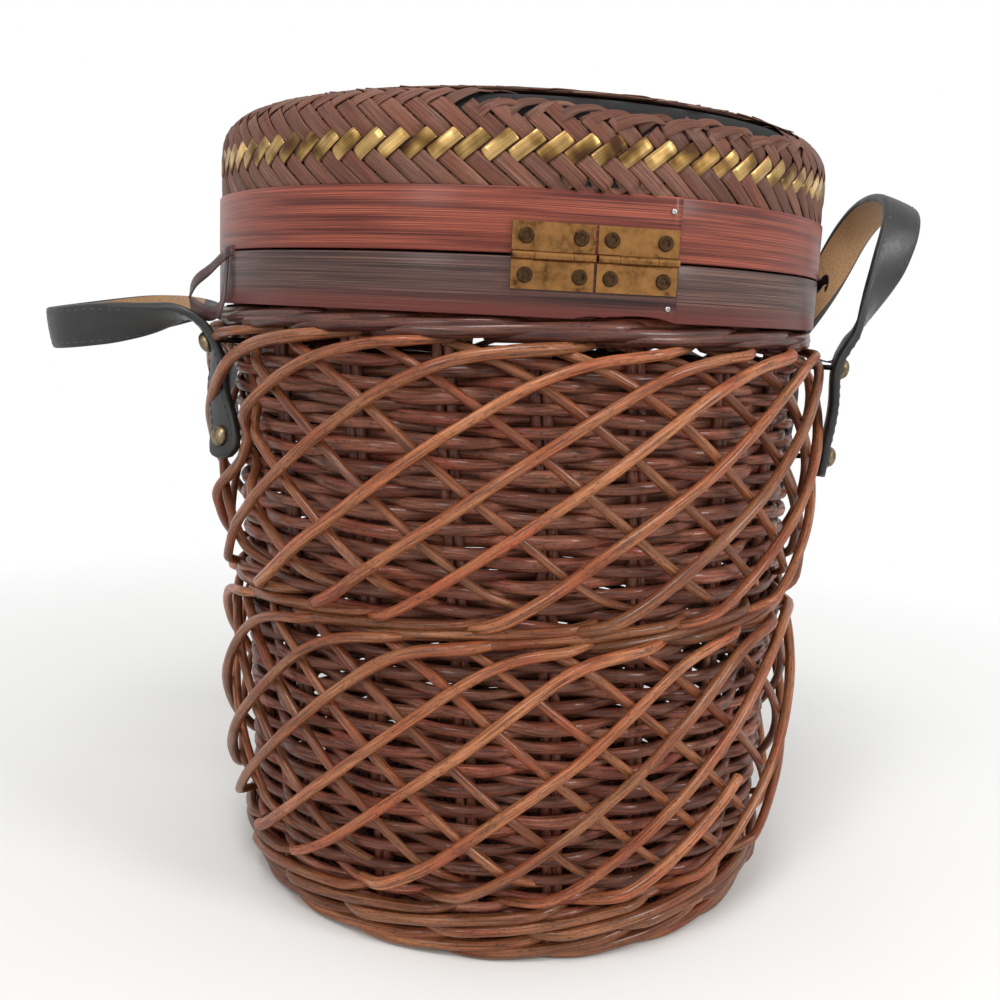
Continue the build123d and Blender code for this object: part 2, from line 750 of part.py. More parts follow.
def handle_rivet(turn, aside, height, cap_out, washer_out):
    """Domed rivet from the face of a tab to the inside of the wall."""
    with BuildPart(mode=Mode.PRIVATE) as rivet:
        with BuildSketch(facing_plane(turn, cap_out, height, aside)):
            Circle(rivet_cap_radius)
        extrude(amount=rivet_cap_height)
        cap_face = rivet.faces().sort_by(Axis((0, 0, 0), outward(turn)))[-1]
        fillet(cap_face.edges(), radius=dome_share * rivet_cap_height)
        with BuildSketch(facing_plane(turn, cap_out, height, aside)):
            Circle(rivet_shank_radius)
        extrude(amount=washer_out - washer_thickness - face_gap - cap_out)
        with BuildSketch(facing_plane(turn, washer_out - washer_thickness - face_gap, height, aside)):
            Circle(rivet_tail_radius)
        extrude(amount=-rivet_tail_height)
    return rivet.part


def inside_washer(turn, aside, height, washer_out):
    """Washer that a rivet is closed over, inside the wall."""
    with BuildPart(mode=Mode.PRIVATE) as washer:
        with BuildSketch(facing_plane(turn, washer_out, height, aside)):
            Circle(washer_radius)
            Circle(rivet_shank_radius + pin_gap, mode=Mode.SUBTRACT)
        extrude(amount=-washer_thickness)
    return washer.part


def tie_wire(name, aside):
    """Short wire from the border rod to the back of a tab."""
    rod_height = border_start - (border_count - 1) * (border_rod + seat_gap)
    rod_reach = wall_radius(rod_height) + border_rod + ring_gap
    rod_out = sqrt(rod_reach**2 - aside**2)
    with BuildPart(mode=Mode.PRIVATE) as wire:
        with BuildSketch(facing_plane(handle_turns[name], rod_out + strap_gap, rod_height, aside)):
            Circle(wire_diameter / 2)
        extrude(amount=tab_high_out[name] - strap_whole / 2 - seat_gap - rod_out - strap_gap)
    return wire.part


tab_rivets = []
tab_washers = []
tie_wires = []
for name, turn in handle_turns.items():
    with BuildPart() as tabs:
        for aside in (-handle_spread, handle_spread):
            add(handle_tab(name, aside))
    finish_part(f"handle_tabs_{name}", tabs.part)
    for aside in (-handle_spread, handle_spread):
        for wire_aside in (-wire_spread, wire_spread):
            tie_wires.append(tie_wire(name, aside + wire_aside))
        rivet_outs = ((lower_rivet_height, tab_low_out[name]), (upper_rivet_height, tab_high_out[name]))
        for height, tab_line_out in rivet_outs:
            wall_inside = wall_radius(height) - wall_thickness
            washer_edge = handle_spread + washer_radius
            washer_out = sqrt((wall_inside - washer_slack) ** 2 - washer_edge**2)
            cap_out = tab_line_out + strap_whole / 2 + face_gap
            tab_rivets.append(handle_rivet(turn, aside, height, cap_out, washer_out))
            tab_washers.append(inside_washer(turn, aside, height, washer_out))

with BuildPart() as handle_rivets:
    add(tab_rivets)
finish_part("handle_rivets", handle_rivets.part)
with BuildPart() as handle_washers:
    add(tab_washers)
finish_part("handle_washers", handle_washers.part)
with BuildPart() as wire_ties:
    add(tie_wires)
finish_part("wire_ties", wire_ties.part)


def handle_directions(name):
    """Origin, along, rising and upper directions of a handle's arch."""
    away = outward(handle_turns[name])
    lift = radians(handle_lift[name])
    along = away.cross(Vector(0, 0, 1))
    rising = away * cos(lift) + Vector(0, 0, sin(lift))
    upper = away * -sin(lift) + Vector(0, 0, cos(lift))
    origin = away * joint_out[name] + Vector(0, 0, joint_height)
    return origin, along, rising, upper


def handle_arch(name, inset, thickness, start):
    """The arch of a handle beyond its twists: a flat strap whose width stands square to the arch."""
    origin, along, rising, upper = handle_directions(name)
    half = handle_spread - inset
    reach = handle_reach - strap_whole / 2 - inset
    corners = [
        (half, start),
        (half - handle_narrowing, reach),
        (handle_narrowing - half, reach),
        (-half, start),
    ]
    with BuildPart(mode=Mode.PRIVATE) as arch:
        with BuildLine(Plane(origin=origin, x_dir=along, z_dir=upper)) as route:
            FilletPolyline(*corners, radius=handle_corner_radius - inset)
        with BuildSketch(Plane(origin=route.wire() @ 0, x_dir=upper, z_dir=route.wire() % 0)):
            Rectangle(strap_width, thickness)
        sweep(path=route.wire())
    return arch.part


def handle_twist(name, side):
    """The foot of a handle's leg: its rounded end on the bending line and a quarter twist."""
    origin, along, rising, upper = handle_directions(name)
    foot = origin + along * (side * handle_spread)
    with BuildPart(mode=Mode.PRIVATE) as leg:
        for step in range(twist_steps + 1):
            angle = radians(90 * step / twist_steps)
            place = foot + rising * (handle_twist_length * step / twist_steps)
            wide = along * cos(angle) + upper * (side * sin(angle))
            with BuildSketch(Plane(origin=place, x_dir=wide, z_dir=rising)):
                Rectangle(strap_width, strap_whole)
        loft(ruled=True)
        with BuildSketch(Plane(origin=foot - along * (strap_width / 2), z_dir=along)):
            Circle(strap_whole / 2)
        extrude(amount=strap_width)
    return leg.part


for name in handle_turns:
    with BuildPart() as handle_strap:
        add(handle_arch(name, -strap_lining_thickness / 2, strap_thickness, handle_twist_length))
        add(handle_twist(name, -1))
        add(handle_twist(name, 1))
    finish_part(f"handle_strap_{name}", handle_strap.part)
    lining_inset = strap_thickness / 2 + face_gap / 2
    lining_start = handle_twist_length + seat_gap
    with BuildPart() as strap_lining:
        add(handle_arch(name, lining_inset, strap_lining_thickness - face_gap, lining_start))
    finish_part(f"handle_lining_{name}", strap_lining.part)

# Lid stays: a flat tongue through the seam, tacked down inside, with a loop or an end hanging outside
for name, turn in stay_turns.items():
    outer_face = rim_radius + stay_overhang
    inner_face = inner_hoop_radius - inner_hoop_wall - seat_gap
    with BuildPart() as lid_stay:
        with BuildSketch(facing_plane(turn, inner_face - stay_thickness, seam_height)):
            Rectangle(stay_width, stay_thickness)
        extrude(amount=outer_face - inner_face + 2 * stay_thickness)
        with BuildSketch(facing_plane(turn, inner_face - stay_thickness, seam_height - stay_inside_drop / 2)):
            Rectangle(stay_width, stay_inside_drop)
        extrude(amount=stay_thickness)
        with BuildSketch(facing_plane(turn, outer_face, seam_height - stay_drop[name] / 2)):
            Rectangle(stay_loop_width[name], stay_drop[name])
            if stay_drop[name] > 3 * stay_band:
                with Locations((0, -stay_band / 2)):
                    Rectangle(
                        stay_loop_width[name] - 2 * stay_band,
                        stay_drop[name] - 3 * stay_band,
                        mode=Mode.SUBTRACT,
                    )
        extrude(amount=stay_thickness)
    finish_part(f"lid_stay_{name}", lid_stay.part)
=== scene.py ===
import math
import random

import bmesh
import bpy
import numpy as np
from mathutils import Matrix, Vector


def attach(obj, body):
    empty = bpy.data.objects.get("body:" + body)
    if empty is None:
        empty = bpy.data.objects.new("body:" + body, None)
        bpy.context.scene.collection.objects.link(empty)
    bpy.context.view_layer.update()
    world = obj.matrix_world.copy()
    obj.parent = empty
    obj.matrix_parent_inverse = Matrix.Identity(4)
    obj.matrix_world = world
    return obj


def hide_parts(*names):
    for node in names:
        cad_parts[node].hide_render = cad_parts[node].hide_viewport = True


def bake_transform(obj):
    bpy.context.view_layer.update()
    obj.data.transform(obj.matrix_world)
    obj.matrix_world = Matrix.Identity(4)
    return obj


bl_info = {
    "name": "Storage basket",
    "version": (1, 0, 0),
    "blender": (4, 5, 0),
    "location": "3D View > Sidebar > Basket",
    "description": "Builds a round wicker basket with a hinged plaited lid around its packed frame",
    "category": "Add Mesh",
}

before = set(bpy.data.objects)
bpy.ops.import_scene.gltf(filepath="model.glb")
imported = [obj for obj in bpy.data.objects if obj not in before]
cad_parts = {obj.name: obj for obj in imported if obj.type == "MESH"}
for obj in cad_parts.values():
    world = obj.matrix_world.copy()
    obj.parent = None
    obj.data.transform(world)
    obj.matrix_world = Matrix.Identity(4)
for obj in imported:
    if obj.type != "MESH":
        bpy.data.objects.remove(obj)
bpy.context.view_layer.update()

# Lengths below are in millimetres until a mesh is made. A turn is an angle in degrees round the basket's
# axis, 0 at the hinges and positive towards +X.
MM = 0.001
WALL_BOTTOM, WALL_TOP = 10.2, 283.35
WALL_FOOT_RADIUS, WALL_TOP_RADIUS = 134.0, 143.5
# Radius of the bent hoops, distance of their flat at the hinges, and turn of the lap that ends the flat
RIM_RADIUS, RIM_FLAT, LAP_TURN = 150.0, 146.8, 13.19
STAKES = 19
STAKE_PITCH = 360.0 / STAKES
STAKE_TURN = -8.3


def linear_colour(code):
    """Linear colour of an sRGB hex value."""
    parts = [int(code[place:place + 2], 16) / 255 for place in (0, 2, 4)]
    return [part / 12.92 if part <= 0.04045 else ((part + 0.055) / 1.055) ** 2.4 for part in parts]


# Sizes and colours


def colour_property(name, description, code):
    """Colour setting whose default is an sRGB hex value."""
    return bpy.props.FloatVectorProperty(
        name=name, description=description, subtype="COLOR", size=3, min=0, max=1, default=linear_colour(code)
    )


def length_property(name, description, millimetres):
    """Length setting in metres, given in millimetres."""
    return bpy.props.FloatProperty(
        name=name, description=description, unit="LENGTH", min=0, precision=4, default=millimetres * MM
    )


class BasketSizes(bpy.types.PropertyGroup):
    weave_pitch: length_property("Weave pitch", "Height from one row of weavers to the next", 4.5)
    weaver_thickness: length_property("Weaver thickness", "Mean thickness of a weaver", 5.3)
    lattice_thickness: length_property("Lattice rod thickness", "Mean thickness of a lattice rod", 4.9)
    upper_bulge: length_property("Upper bulge", "How far the upper lattice swells from the wall", 6.2)
    lower_bulge: length_property("Lower bulge", "How far the lower lattice swells from the wall", 5.2)
    border_thickness: length_property("Border thickness", "Thickness of the rods under the rim", 6.0)
    plait_strip_width: length_property("Plait strip width", "Width of a strip of the lid's plait", 6.3)
    strap_width: length_property("Strap width", "Width of the leather handles", 20.0)
    stitch_pitch: length_property("Stitch pitch", "Length of thread and gap in the handle's seams", 4.4)


class BasketColours(bpy.types.PropertyGroup):
    weaver: colour_property("Weaver", "Stained willow of the wall", "7e4e3b")
    lattice: colour_property("Lattice", "Varnished willow of the outer rods", "8e5939")
    border: colour_property("Border", "Stained willow of the borders", "5a352b")
    lid_hoop: colour_property("Lid hoop", "Stained bamboo of the lid's hoop", "7e3c2d")
    basket_hoop: colour_property("Basket hoop", "Stained bamboo of the basket's hoop", "4c332e")
    plait: colour_property("Plait", "Dyed bamboo strips of the lid", "684638")
    brass: colour_property("Brass", "Rolled brass of the hinges", "94693e")
    brass_foil: colour_property("Brass strips", "Brass strips in the plait", "b89660")
    leather: colour_property("Leather", "Dyed leather of the handles", "1e1d1d")
    suede: colour_property("Suede", "Flesh side of the handles", "a27c55")
    floor: colour_property("Floor", "Pale floor", "efefed")


# Mesh helpers

# The hand-woven wall leans a little under its rim: how far it stands aside at each height
LEAN_HEIGHTS, LEAN_SHIFTS = (0, 100, 150, 200, 250, 276), (5.0, 4.6, 3.4, 2.4, 0.9, 0.0)
LEAN_TURN = 78.3
UP = np.array([0.0, 0.0, 1.0])


def wrap_turn(turn):
    """A turn between -180 and 180 degrees."""
    return (turn + 180) % 360 - 180


def outward(turn):
    """Horizontal direction at a turn."""
    return np.array([math.sin(math.radians(turn)), -math.cos(math.radians(turn)), 0.0])


def polar(turn, radius, height):
    """Points round the basket's axis, which leans below the rim."""
    turn, radius, height = np.broadcast_arrays(np.radians(turn), radius, height)
    lean = np.interp(height, LEAN_HEIGHTS, LEAN_SHIFTS)
    aside, back, _ = outward(LEAN_TURN)
    across, deep = radius * np.sin(turn) + lean * aside, lean * back - radius * np.cos(turn)
    return np.stack([across, deep, height], axis=-1)


def unit(vectors):
    """Vectors scaled to length 1."""
    return vectors / np.maximum(np.linalg.norm(vectors, axis=-1, keepdims=True), 1e-9)


def square_to(vectors, along):
    """Vectors turned square to a direction and scaled to length 1."""
    return unit(vectors - (vectors * along).sum(-1, keepdims=True) * along)


def away_from_axis(points):
    """Horizontal direction away from the basket's axis at each point."""
    return unit(points * np.array([1.0, 1.0, 0.0]))


def run_along(path):
    """Length of a path up to each of its points."""
    return np.concatenate([[0], np.cumsum(np.linalg.norm(np.diff(path, axis=0), axis=1))])


def pick_along(places, run, values):
    """Points or directions at given lengths along a path."""
    return np.stack([np.interp(places, run, values[:, axis]) for axis in range(3)], -1)


def sway(values, seed):
    """Smooth seeded unevenness, about -1 to 1."""
    draw = random.Random(seed)
    total = np.zeros_like(np.asarray(values, float))
    for pace in (1.0, 2.3, 4.7):
        total = total + np.sin(np.asarray(values) * pace + draw.uniform(0, 2 * math.pi)) / (1 + pace)
    return total


def soften(values, passes):
    """Running mean that keeps both ends."""
    values = np.array(values, float)
    for _ in range(passes):
        values[1:-1] = (values[:-2] + 2 * values[1:-1] + values[2:]) / 4
    return values


def wall_radius(height):
    """Outer radius of the woven wall."""
    share = (np.asarray(height, float) - WALL_BOTTOM) / (WALL_TOP - WALL_BOTTOM)
    return WALL_FOOT_RADIUS + (WALL_TOP_RADIUS - WALL_FOOT_RADIUS) * share


# How many degrees each stake stands off its even place, and the slant that all of them share: so many
# degrees at a level, and none at the height that lies so far above it
STAKE_SHIFTS = [
    0.7, -1.4, -1.3, -2.0, -0.8, -0.9, 0.5, -0.4, 1.0, -0.7, 0.3, 0.9, -0.8, 0.2, 1.0, 2.6, 4.4, 4.8, 3.4,
]
STAKE_SLANT, SLANT_LEVEL, SLANT_RISE = 3.4, 138, 132


def stake_turn(index, height):
    """Turn of a stake by its number, which may lie between two stakes. The stakes lean a little."""
    shift = np.interp(np.mod(index, STAKES), np.arange(STAKES + 1), STAKE_SHIFTS + STAKE_SHIFTS[:1])
    slant = STAKE_SLANT * (1 - (np.asarray(height) - SLANT_LEVEL) / SLANT_RISE)
    return STAKE_TURN + np.asarray(index) * STAKE_PITCH + shift + slant


def grain_field(shape, along, across, off_face):
    """Grain coordinates of a skin in millimetres: along it, across it and off its face."""
    grain = np.empty(shape)
    for axis, part in enumerate((along, across, off_face)):
        grain[..., axis] = part
    return grain


class Strands:
    """Gathers many like rods or strips into one mesh, with the run of their grain and a tone for each."""

    def __init__(self):
        self.points, self.faces, self.grain, self.tone, self.slots = [], [], [], [], []
        self.count = 0

    def grain_start(self, step, wrap):
        """Where the next rod or strip starts in the grain, so that neighbours differ."""
        return (len(self.points) * step) % wrap

    def add(self, rows, grain, tone, slot=0, caps=True):
        """Adds a skin over rows of points, closed round each row and capped at both ends."""
        rows = np.asarray(rows, float)
        length, around, _ = rows.shape
        index = self.count + np.arange(length * around).reshape(length, around)
        turned = np.roll(index, -1, axis=1)
        quads = np.stack([index[:-1], turned[:-1], turned[1:], index[1:]], -1).reshape(-1, 4)
        self.faces += quads.tolist()
        slots = np.broadcast_to(np.asarray(slot), (length - 1, around)).reshape(-1)
        self.slots += slots.tolist()
        if caps:
            self.faces += [index[0, ::-1].tolist(), index[-1].tolist()]
            self.slots += [int(slots[0])] * 2
        self.points.append(rows.reshape(-1, 3))
        self.grain.append(np.broadcast_to(grain, rows.shape).reshape(-1, 3))
        self.tone.append(np.full(length * around, tone))
        self.count += length * around

    def rod(self, path, radius, tone, facing=None, sides=8, flat=1.0):
        """Adds a round rod along a path. Radius may change along it, flat squeezes it the way it faces."""
        path = np.asarray(path, float)
        radius = np.broadcast_to(np.asarray(radius, float), len(path)).copy()
        # Each end is rounded by one smaller ring a little beyond it
        tip = unit(path[:1] - path[1:2]) * radius[0] * 0.4
        tail = unit(path[-1:] - path[-2:-1]) * radius[-1] * 0.4
        path = np.concatenate([path[:1] + tip, path, path[-1:] + tail])
        radius = np.concatenate([radius[:1] * 0.6, radius, radius[-1:] * 0.6])
        tangent = unit(np.gradient(path, axis=0))
        facing = away_from_axis(path) if facing is None else np.broadcast_to(facing, path.shape)
        normal = square_to(facing, tangent)
        side = np.cross(tangent, normal)
        angle = np.linspace(0, 2 * math.pi, sides, endpoint=False)[None, :, None]
        spread = radius[:, None, None]
        rows = flat * np.cos(angle) * normal[:, None] + np.sin(angle) * side[:, None]
        rows = path[:, None] + spread * rows
        start = self.grain_start(37.0, 997)
        across, off_face = spread * np.cos(angle), spread * np.sin(angle)
        along = run_along(path)[:, None] + start
        self.add(rows, grain_field(rows.shape, along, across[..., 0] + start * 0.37, off_face[..., 0]), tone)

    def strip(self, path, across, width, thickness, tone, crown=0.0):
        """Adds a flat strip along a path. Across is the direction of its width at each point."""
        path, across = np.asarray(path, float), np.asarray(across, float)
        tangent = unit(np.gradient(path, axis=0))
        across = square_to(across, tangent)
        normal = np.cross(tangent, across)
        half = np.broadcast_to(np.asarray(width, float), len(path))[:, None] / 2
        # Each point of the section: a share of the half width, and a share of the thickness
        places = np.array([-1, -0.93, -0.5, 0, 0.5, 0.93, 1, 0.93, 0.5, 0, -0.5, -0.93])
        lifts = np.array([0, 0.5, 0.5, 0.5, 0.5, 0.5, 0, -0.5, -0.5, -0.5, -0.5, -0.5])
        rise = crown * (1 - places ** 2) + lifts * thickness
        rows = path[:, None] + (half * places)[..., None] * across[:, None]
        rows = rows + rise[None, :, None] * normal[:, None]
        start = self.grain_start(41.0, 983)
        along = run_along(path)[:, None] + start
        self.add(rows, grain_field(rows.shape, along, half * places + start * 0.31, lifts * thickness), tone)

    def belt(self, path, across, width, thickness, backs):
        """Adds a thick strap with eased edges. Backs gives the finish of its back at each point."""
        tangent = unit(np.gradient(path, axis=0))
        across = square_to(across, tangent)
        normal = np.cross(tangent, across)
        # Each point of the section: a share of the half width, a step from it, a share of the half thickness
        shares = np.array([-1, -1, -1, -1, -0.5, 0, 0.5, 1, 1, 1, 1, 1, 0, -1])
        steps = np.array([0, 0, 0.5, 1.7, 0, 0, 0, -1.7, -0.5, 0, 0, -0.8, 0, 0.8])
        lifts = np.array([-0.5, 0.4, 0.8, 0.92, 1.1, 1.15, 1.1, 0.92, 0.8, 0.4, -0.5, -0.95, -1.0, -0.95])
        lifts = lifts * (thickness / 2)
        places = np.asarray(width, float)[:, None] / 2 * shares + steps
        rows = path[:, None] + places[..., None] * across[:, None] + lifts[None, :, None] * normal[:, None]
        slots = np.zeros((len(path) - 1, len(shares)), int)
        slots[:, 11:13] = np.asarray(backs)[:-1, None]
        self.add(rows, grain_field(rows.shape, run_along(path)[:, None], places, lifts), 1.0, slots)

    def dome(self, centre, facing, radius, height, slot=0):
        """Adds a domed cap that stands on its centre and faces a direction."""
        side = unit(np.cross(facing, UP))
        top = np.cross(side, facing)
        # From under the rim to the top: shares of the radius and of the height
        outs = np.array([0.2, 0.97, 1.0, 0.97, 0.86, 0.68, 0.45, 0.2, 0.02]) * radius
        ups = np.array([0, 0, 0.16, 0.34, 0.58, 0.79, 0.93, 0.99, 1.0]) * height
        angle = np.linspace(0, 2 * math.pi, 28, endpoint=False)
        ring = np.cos(angle)[:, None] * side + np.sin(angle)[:, None] * top
        rows = centre + outs[:, None, None] * ring[None] + ups[:, None, None] * facing
        self.add(rows, rows - centre, 1.0, slot)

    def make(self, name, materials):
        """Turns what was gathered into an object in metres, in the frame of the CAD."""
        mesh = bpy.data.meshes.new(name)
        points = np.concatenate(self.points) * MM
        mesh.from_pydata(points.tolist(), [], self.faces)
        grain = mesh.attributes.new("grain", "FLOAT_VECTOR", "POINT")
        grain.data.foreach_set("vector", np.concatenate(self.grain).astype(np.float32).reshape(-1))
        tone = mesh.attributes.new("tone", "FLOAT", "POINT")
        tone.data.foreach_set("value", np.concatenate(self.tone).astype(np.float32))
        for material in materials:
            mesh.materials.append(material)
        mesh.polygons.foreach_set("material_index", self.slots)
        mesh.polygons.foreach_set("use_smooth", [True] * len(self.faces))
        shell = bmesh.new()
        shell.from_mesh(mesh)
        bmesh.ops.recalc_face_normals(shell, faces=shell.faces)
        shell.to_mesh(mesh)
        shell.free()
        mesh.update()
        piece = bpy.data.objects.new(name, mesh)
        bpy.context.scene.collection.objects.link(piece)
        return piece


def seat(piece, body, slot, *replaced):
    """Puts a piece on its body and hides the nodes that it stands for. The finish's name in slot is not used.
    """
    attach(piece, body)
    if replaced:
        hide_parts(*replaced)


def finish_nodes(material, *names):
    """Gives CAD nodes whose shape is right a better material."""
    for name in names:
        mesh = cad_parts[name].data
        mesh.materials.clear()
        mesh.materials.append(material)


# Material helpers


def add_node(owner, kind, inputs=None, **settings):
    """Adds a node to a material or world, with its settings and the values and links of its inputs."""
    made = owner.node_tree.nodes.new(kind)
    for name, value in settings.items():
        setattr(made, name, value)
    for place, value in (inputs or {}).items():
        if isinstance(value, bpy.types.NodeSocket):
            link(owner, value, made.inputs[place])
        else:
            made.inputs[place].default_value = value
    return made


def link(owner, source, target):
    """Links an output to an input."""
    owner.node_tree.links.new(source, target)


def start_material(name, **values):
    """New material with a shader, its plain values set on the shader's own sockets."""
    material = bpy.data.materials.new(name)
    material.use_nodes = True
    shader = material.node_tree.nodes["Principled BSDF"]
    for socket, value in values.items():
        shader.inputs[socket.replace("_", " ")].default_value = value
    return material, shader


def attribute(owner, name, output):
    """Output of an attribute that Strands gives to each point."""
    return add_node(owner, "ShaderNodeAttribute", attribute_name=name).outputs[output]


def scaled(owner, vector, factors):
    """A vector with each part multiplied by its own factor."""
    return add_node(owner, "ShaderNodeVectorMath", {0: vector, 1: factors}, operation="MULTIPLY").outputs[0]


def noise(owner, vector, scale, detail, roughness=0.5):
    """Noise over a vector, or over the object's own box where the vector is None."""
    inputs = {"Scale": scale, "Detail": detail, "Roughness": roughness}
    if vector is not None:
        inputs["Vector"] = vector
    return add_node(owner, "ShaderNodeTexNoise", inputs).outputs["Fac"]


def object_place(owner):
    """Place on the object in metres."""
    return add_node(owner, "ShaderNodeTexCoord").outputs["Object"]


def maths(owner, operation, first, second):
    """Result of a sum on two values."""
    return add_node(owner, "ShaderNodeMath", {0: first, 1: second}, operation=operation).outputs[0]


def remap(owner, value, old, new):
    """A value moved from one range to another."""
    inputs = {"Value": value, 1: old[0], 2: old[1], 3: new[0], 4: new[1]}
    return add_node(owner, "ShaderNodeMapRange", inputs).outputs[0]


def mix(owner, share, first, second, blend="MIX"):
    """Mixes a second colour into a first one."""
    inputs = {0: share, 6: first, 7: second}
    return add_node(owner, "ShaderNodeMix", inputs, data_type="RGBA", blend_type=blend).outputs[2]


def shade(colour, factor=1.0):
    """A colour made darker or lighter, with its alpha. A colour may be an sRGB hex value."""
    parts = linear_colour(colour) if isinstance(colour, str) else colour
    return [min(1.0, part * factor) for part in parts] + [1.0]


def tones(colour, *pairs):
    """Ramp stops of one colour, from pairs of place and factor."""
    return [(place, shade(colour, factor)) for place, factor in pairs]


def ramp(owner, value, stops):
    """Colour ramp over a value, from pairs of place and colour."""
    made = add_node(owner, "ShaderNodeValToRGB", {"Fac": value})
    elements = made.color_ramp.elements
    while len(elements) < len(stops):
        elements.new(0.5)
    for element, (place, colour) in zip(elements, stops):
        element.position = place
        element.color = colour
    return made.outputs["Color"]


def bump(material, shader, strength, depth_mm, height):
    """Gives a shader a bump of a depth in millimetres."""
    inputs = {"Strength": strength, "Distance": depth_mm * MM, "Height": height}
    normal = add_node(material, "ShaderNodeBump", inputs).outputs["Normal"]
    link(material, normal, shader.inputs["Normal"])


def wood_material(
    name, colour, red, streak_mm, roughness, coat, bump_mm, speck=0.75, gloss=0.16, reddest=0.5
):
    """Stained and varnished plant rod or strip: streaks along the grain, a tone for each piece, dark specks.

    Streak is the width and the length of a streak in millimetres."""
    material, shader = start_material(
        name, Roughness=roughness, Coat_Weight=coat, Coat_Roughness=gloss, Specular_IOR_Level=0.2
    )
    grain = attribute(material, "grain", "Vector")
    width, length = streak_mm
    streaks = noise(material, scaled(material, grain, (1 / length, 1 / width, 1 / width)), 1.0, 5.0, 0.62)
    # Patches of stain about 45 mm long and 10 mm wide, and below specks of about 2 mm by 1 mm
    patches = noise(material, scaled(material, grain, (0.022, 0.1, 0.1)), 1.0, 3.0)
    base = ramp(material, streaks, tones(colour, (0.33, 0.3), (0.46, 0.82), (0.57, 1.2), (0.7, 1.75)))
    # The stain took more on some stretches and on some rods than on others
    redder = remap(material, patches, (0.42, 0.64), (0.0, reddest))
    stained = mix(material, redder, base, shade(red), "OVERLAY")
    toned = mix(material, 1.0, stained, attribute(material, "tone", "Fac"), "MULTIPLY")
    specks = noise(material, scaled(material, grain, (0.45, 1.1, 1.1)), 1.0, 4.0)
    specked = mix(material, remap(material, specks, (0.56, 0.7), (0.0, speck)), toned, shade(colour, 0.18))
    link(material, specked, shader.inputs["Base Color"])
    rougher = remap(material, patches, (0.3, 0.7), (roughness - 0.1, roughness + 0.16))
    link(material, rougher, shader.inputs["Roughness"])
    bump(material, shader, 0.55, bump_mm, streaks)
    return material


def stained_willow(name="stained_woven_willow", factor=1.0):
    """Willow, peeled, stained dark and woven damp: dull brown with red where the stain is thin."""
    colour = [part * factor for part in bpy.context.scene.basket_colours.weaver]
    return wood_material(name, colour, "a04a30", (0.9, 16), 0.5, 0.3, 0.25, gloss=0.12)


def varnished_willow():
    """The same willow, varnished over a lighter stain: orange-brown with dark flecks and a satin gloss."""
    colour = bpy.context.scene.basket_colours.lattice
    return wood_material("varnished_willow_rod", colour, "a04c28", (0.8, 22), 0.5, 0.3, 0.22, gloss=0.12)


def band_willow():
    """Varnished willow of the bands and the foot: a shade darker than the lattice."""
    colour = [part * 0.82 for part in bpy.context.scene.basket_colours.lattice]
    return wood_material("varnished_band_willow", colour, "984a2c", (0.9, 22), 0.5, 0.3, 0.25, gloss=0.12)


def border_willow():
    """Thick willow of the rim's border, stained darker than the wall: brown with a soft gloss."""
    colour = bpy.context.scene.basket_colours.border
    return wood_material("stained_border_willow", colour, "8a3a2a", (1.0, 24), 0.46, 0.34, 0.25, gloss=0.12)


# Woven wall

STAKE_BOTTOM, STAKE_TOP, STAKE_INSET, STAKE_RADIUS, PAIR_HALF = 7, 284, 4.8, 2.4, 0.95
# Heights of the rows of the wall, then of those that close it inside the hoop
WEAVE_SPANS = ((13.0, 266.0), (277.0, 287.0))
# Stakes that one weaver passes, and how far the next one overlaps it
WEAVER_REACHES, WEAVER_OVERLAP = [16, 20, 22, 26, 30], 0.42
WEAVER_INSET, WEAVER_SWING, WEAVER_STEP = 4.4, 4.0, 0.125
# From this height the weavers stay within this radius and under this height, inside the hoop
HOOP_LEVEL, INSIDE_HOOP, WEAVE_TOP = 279, 141.5, 284.6


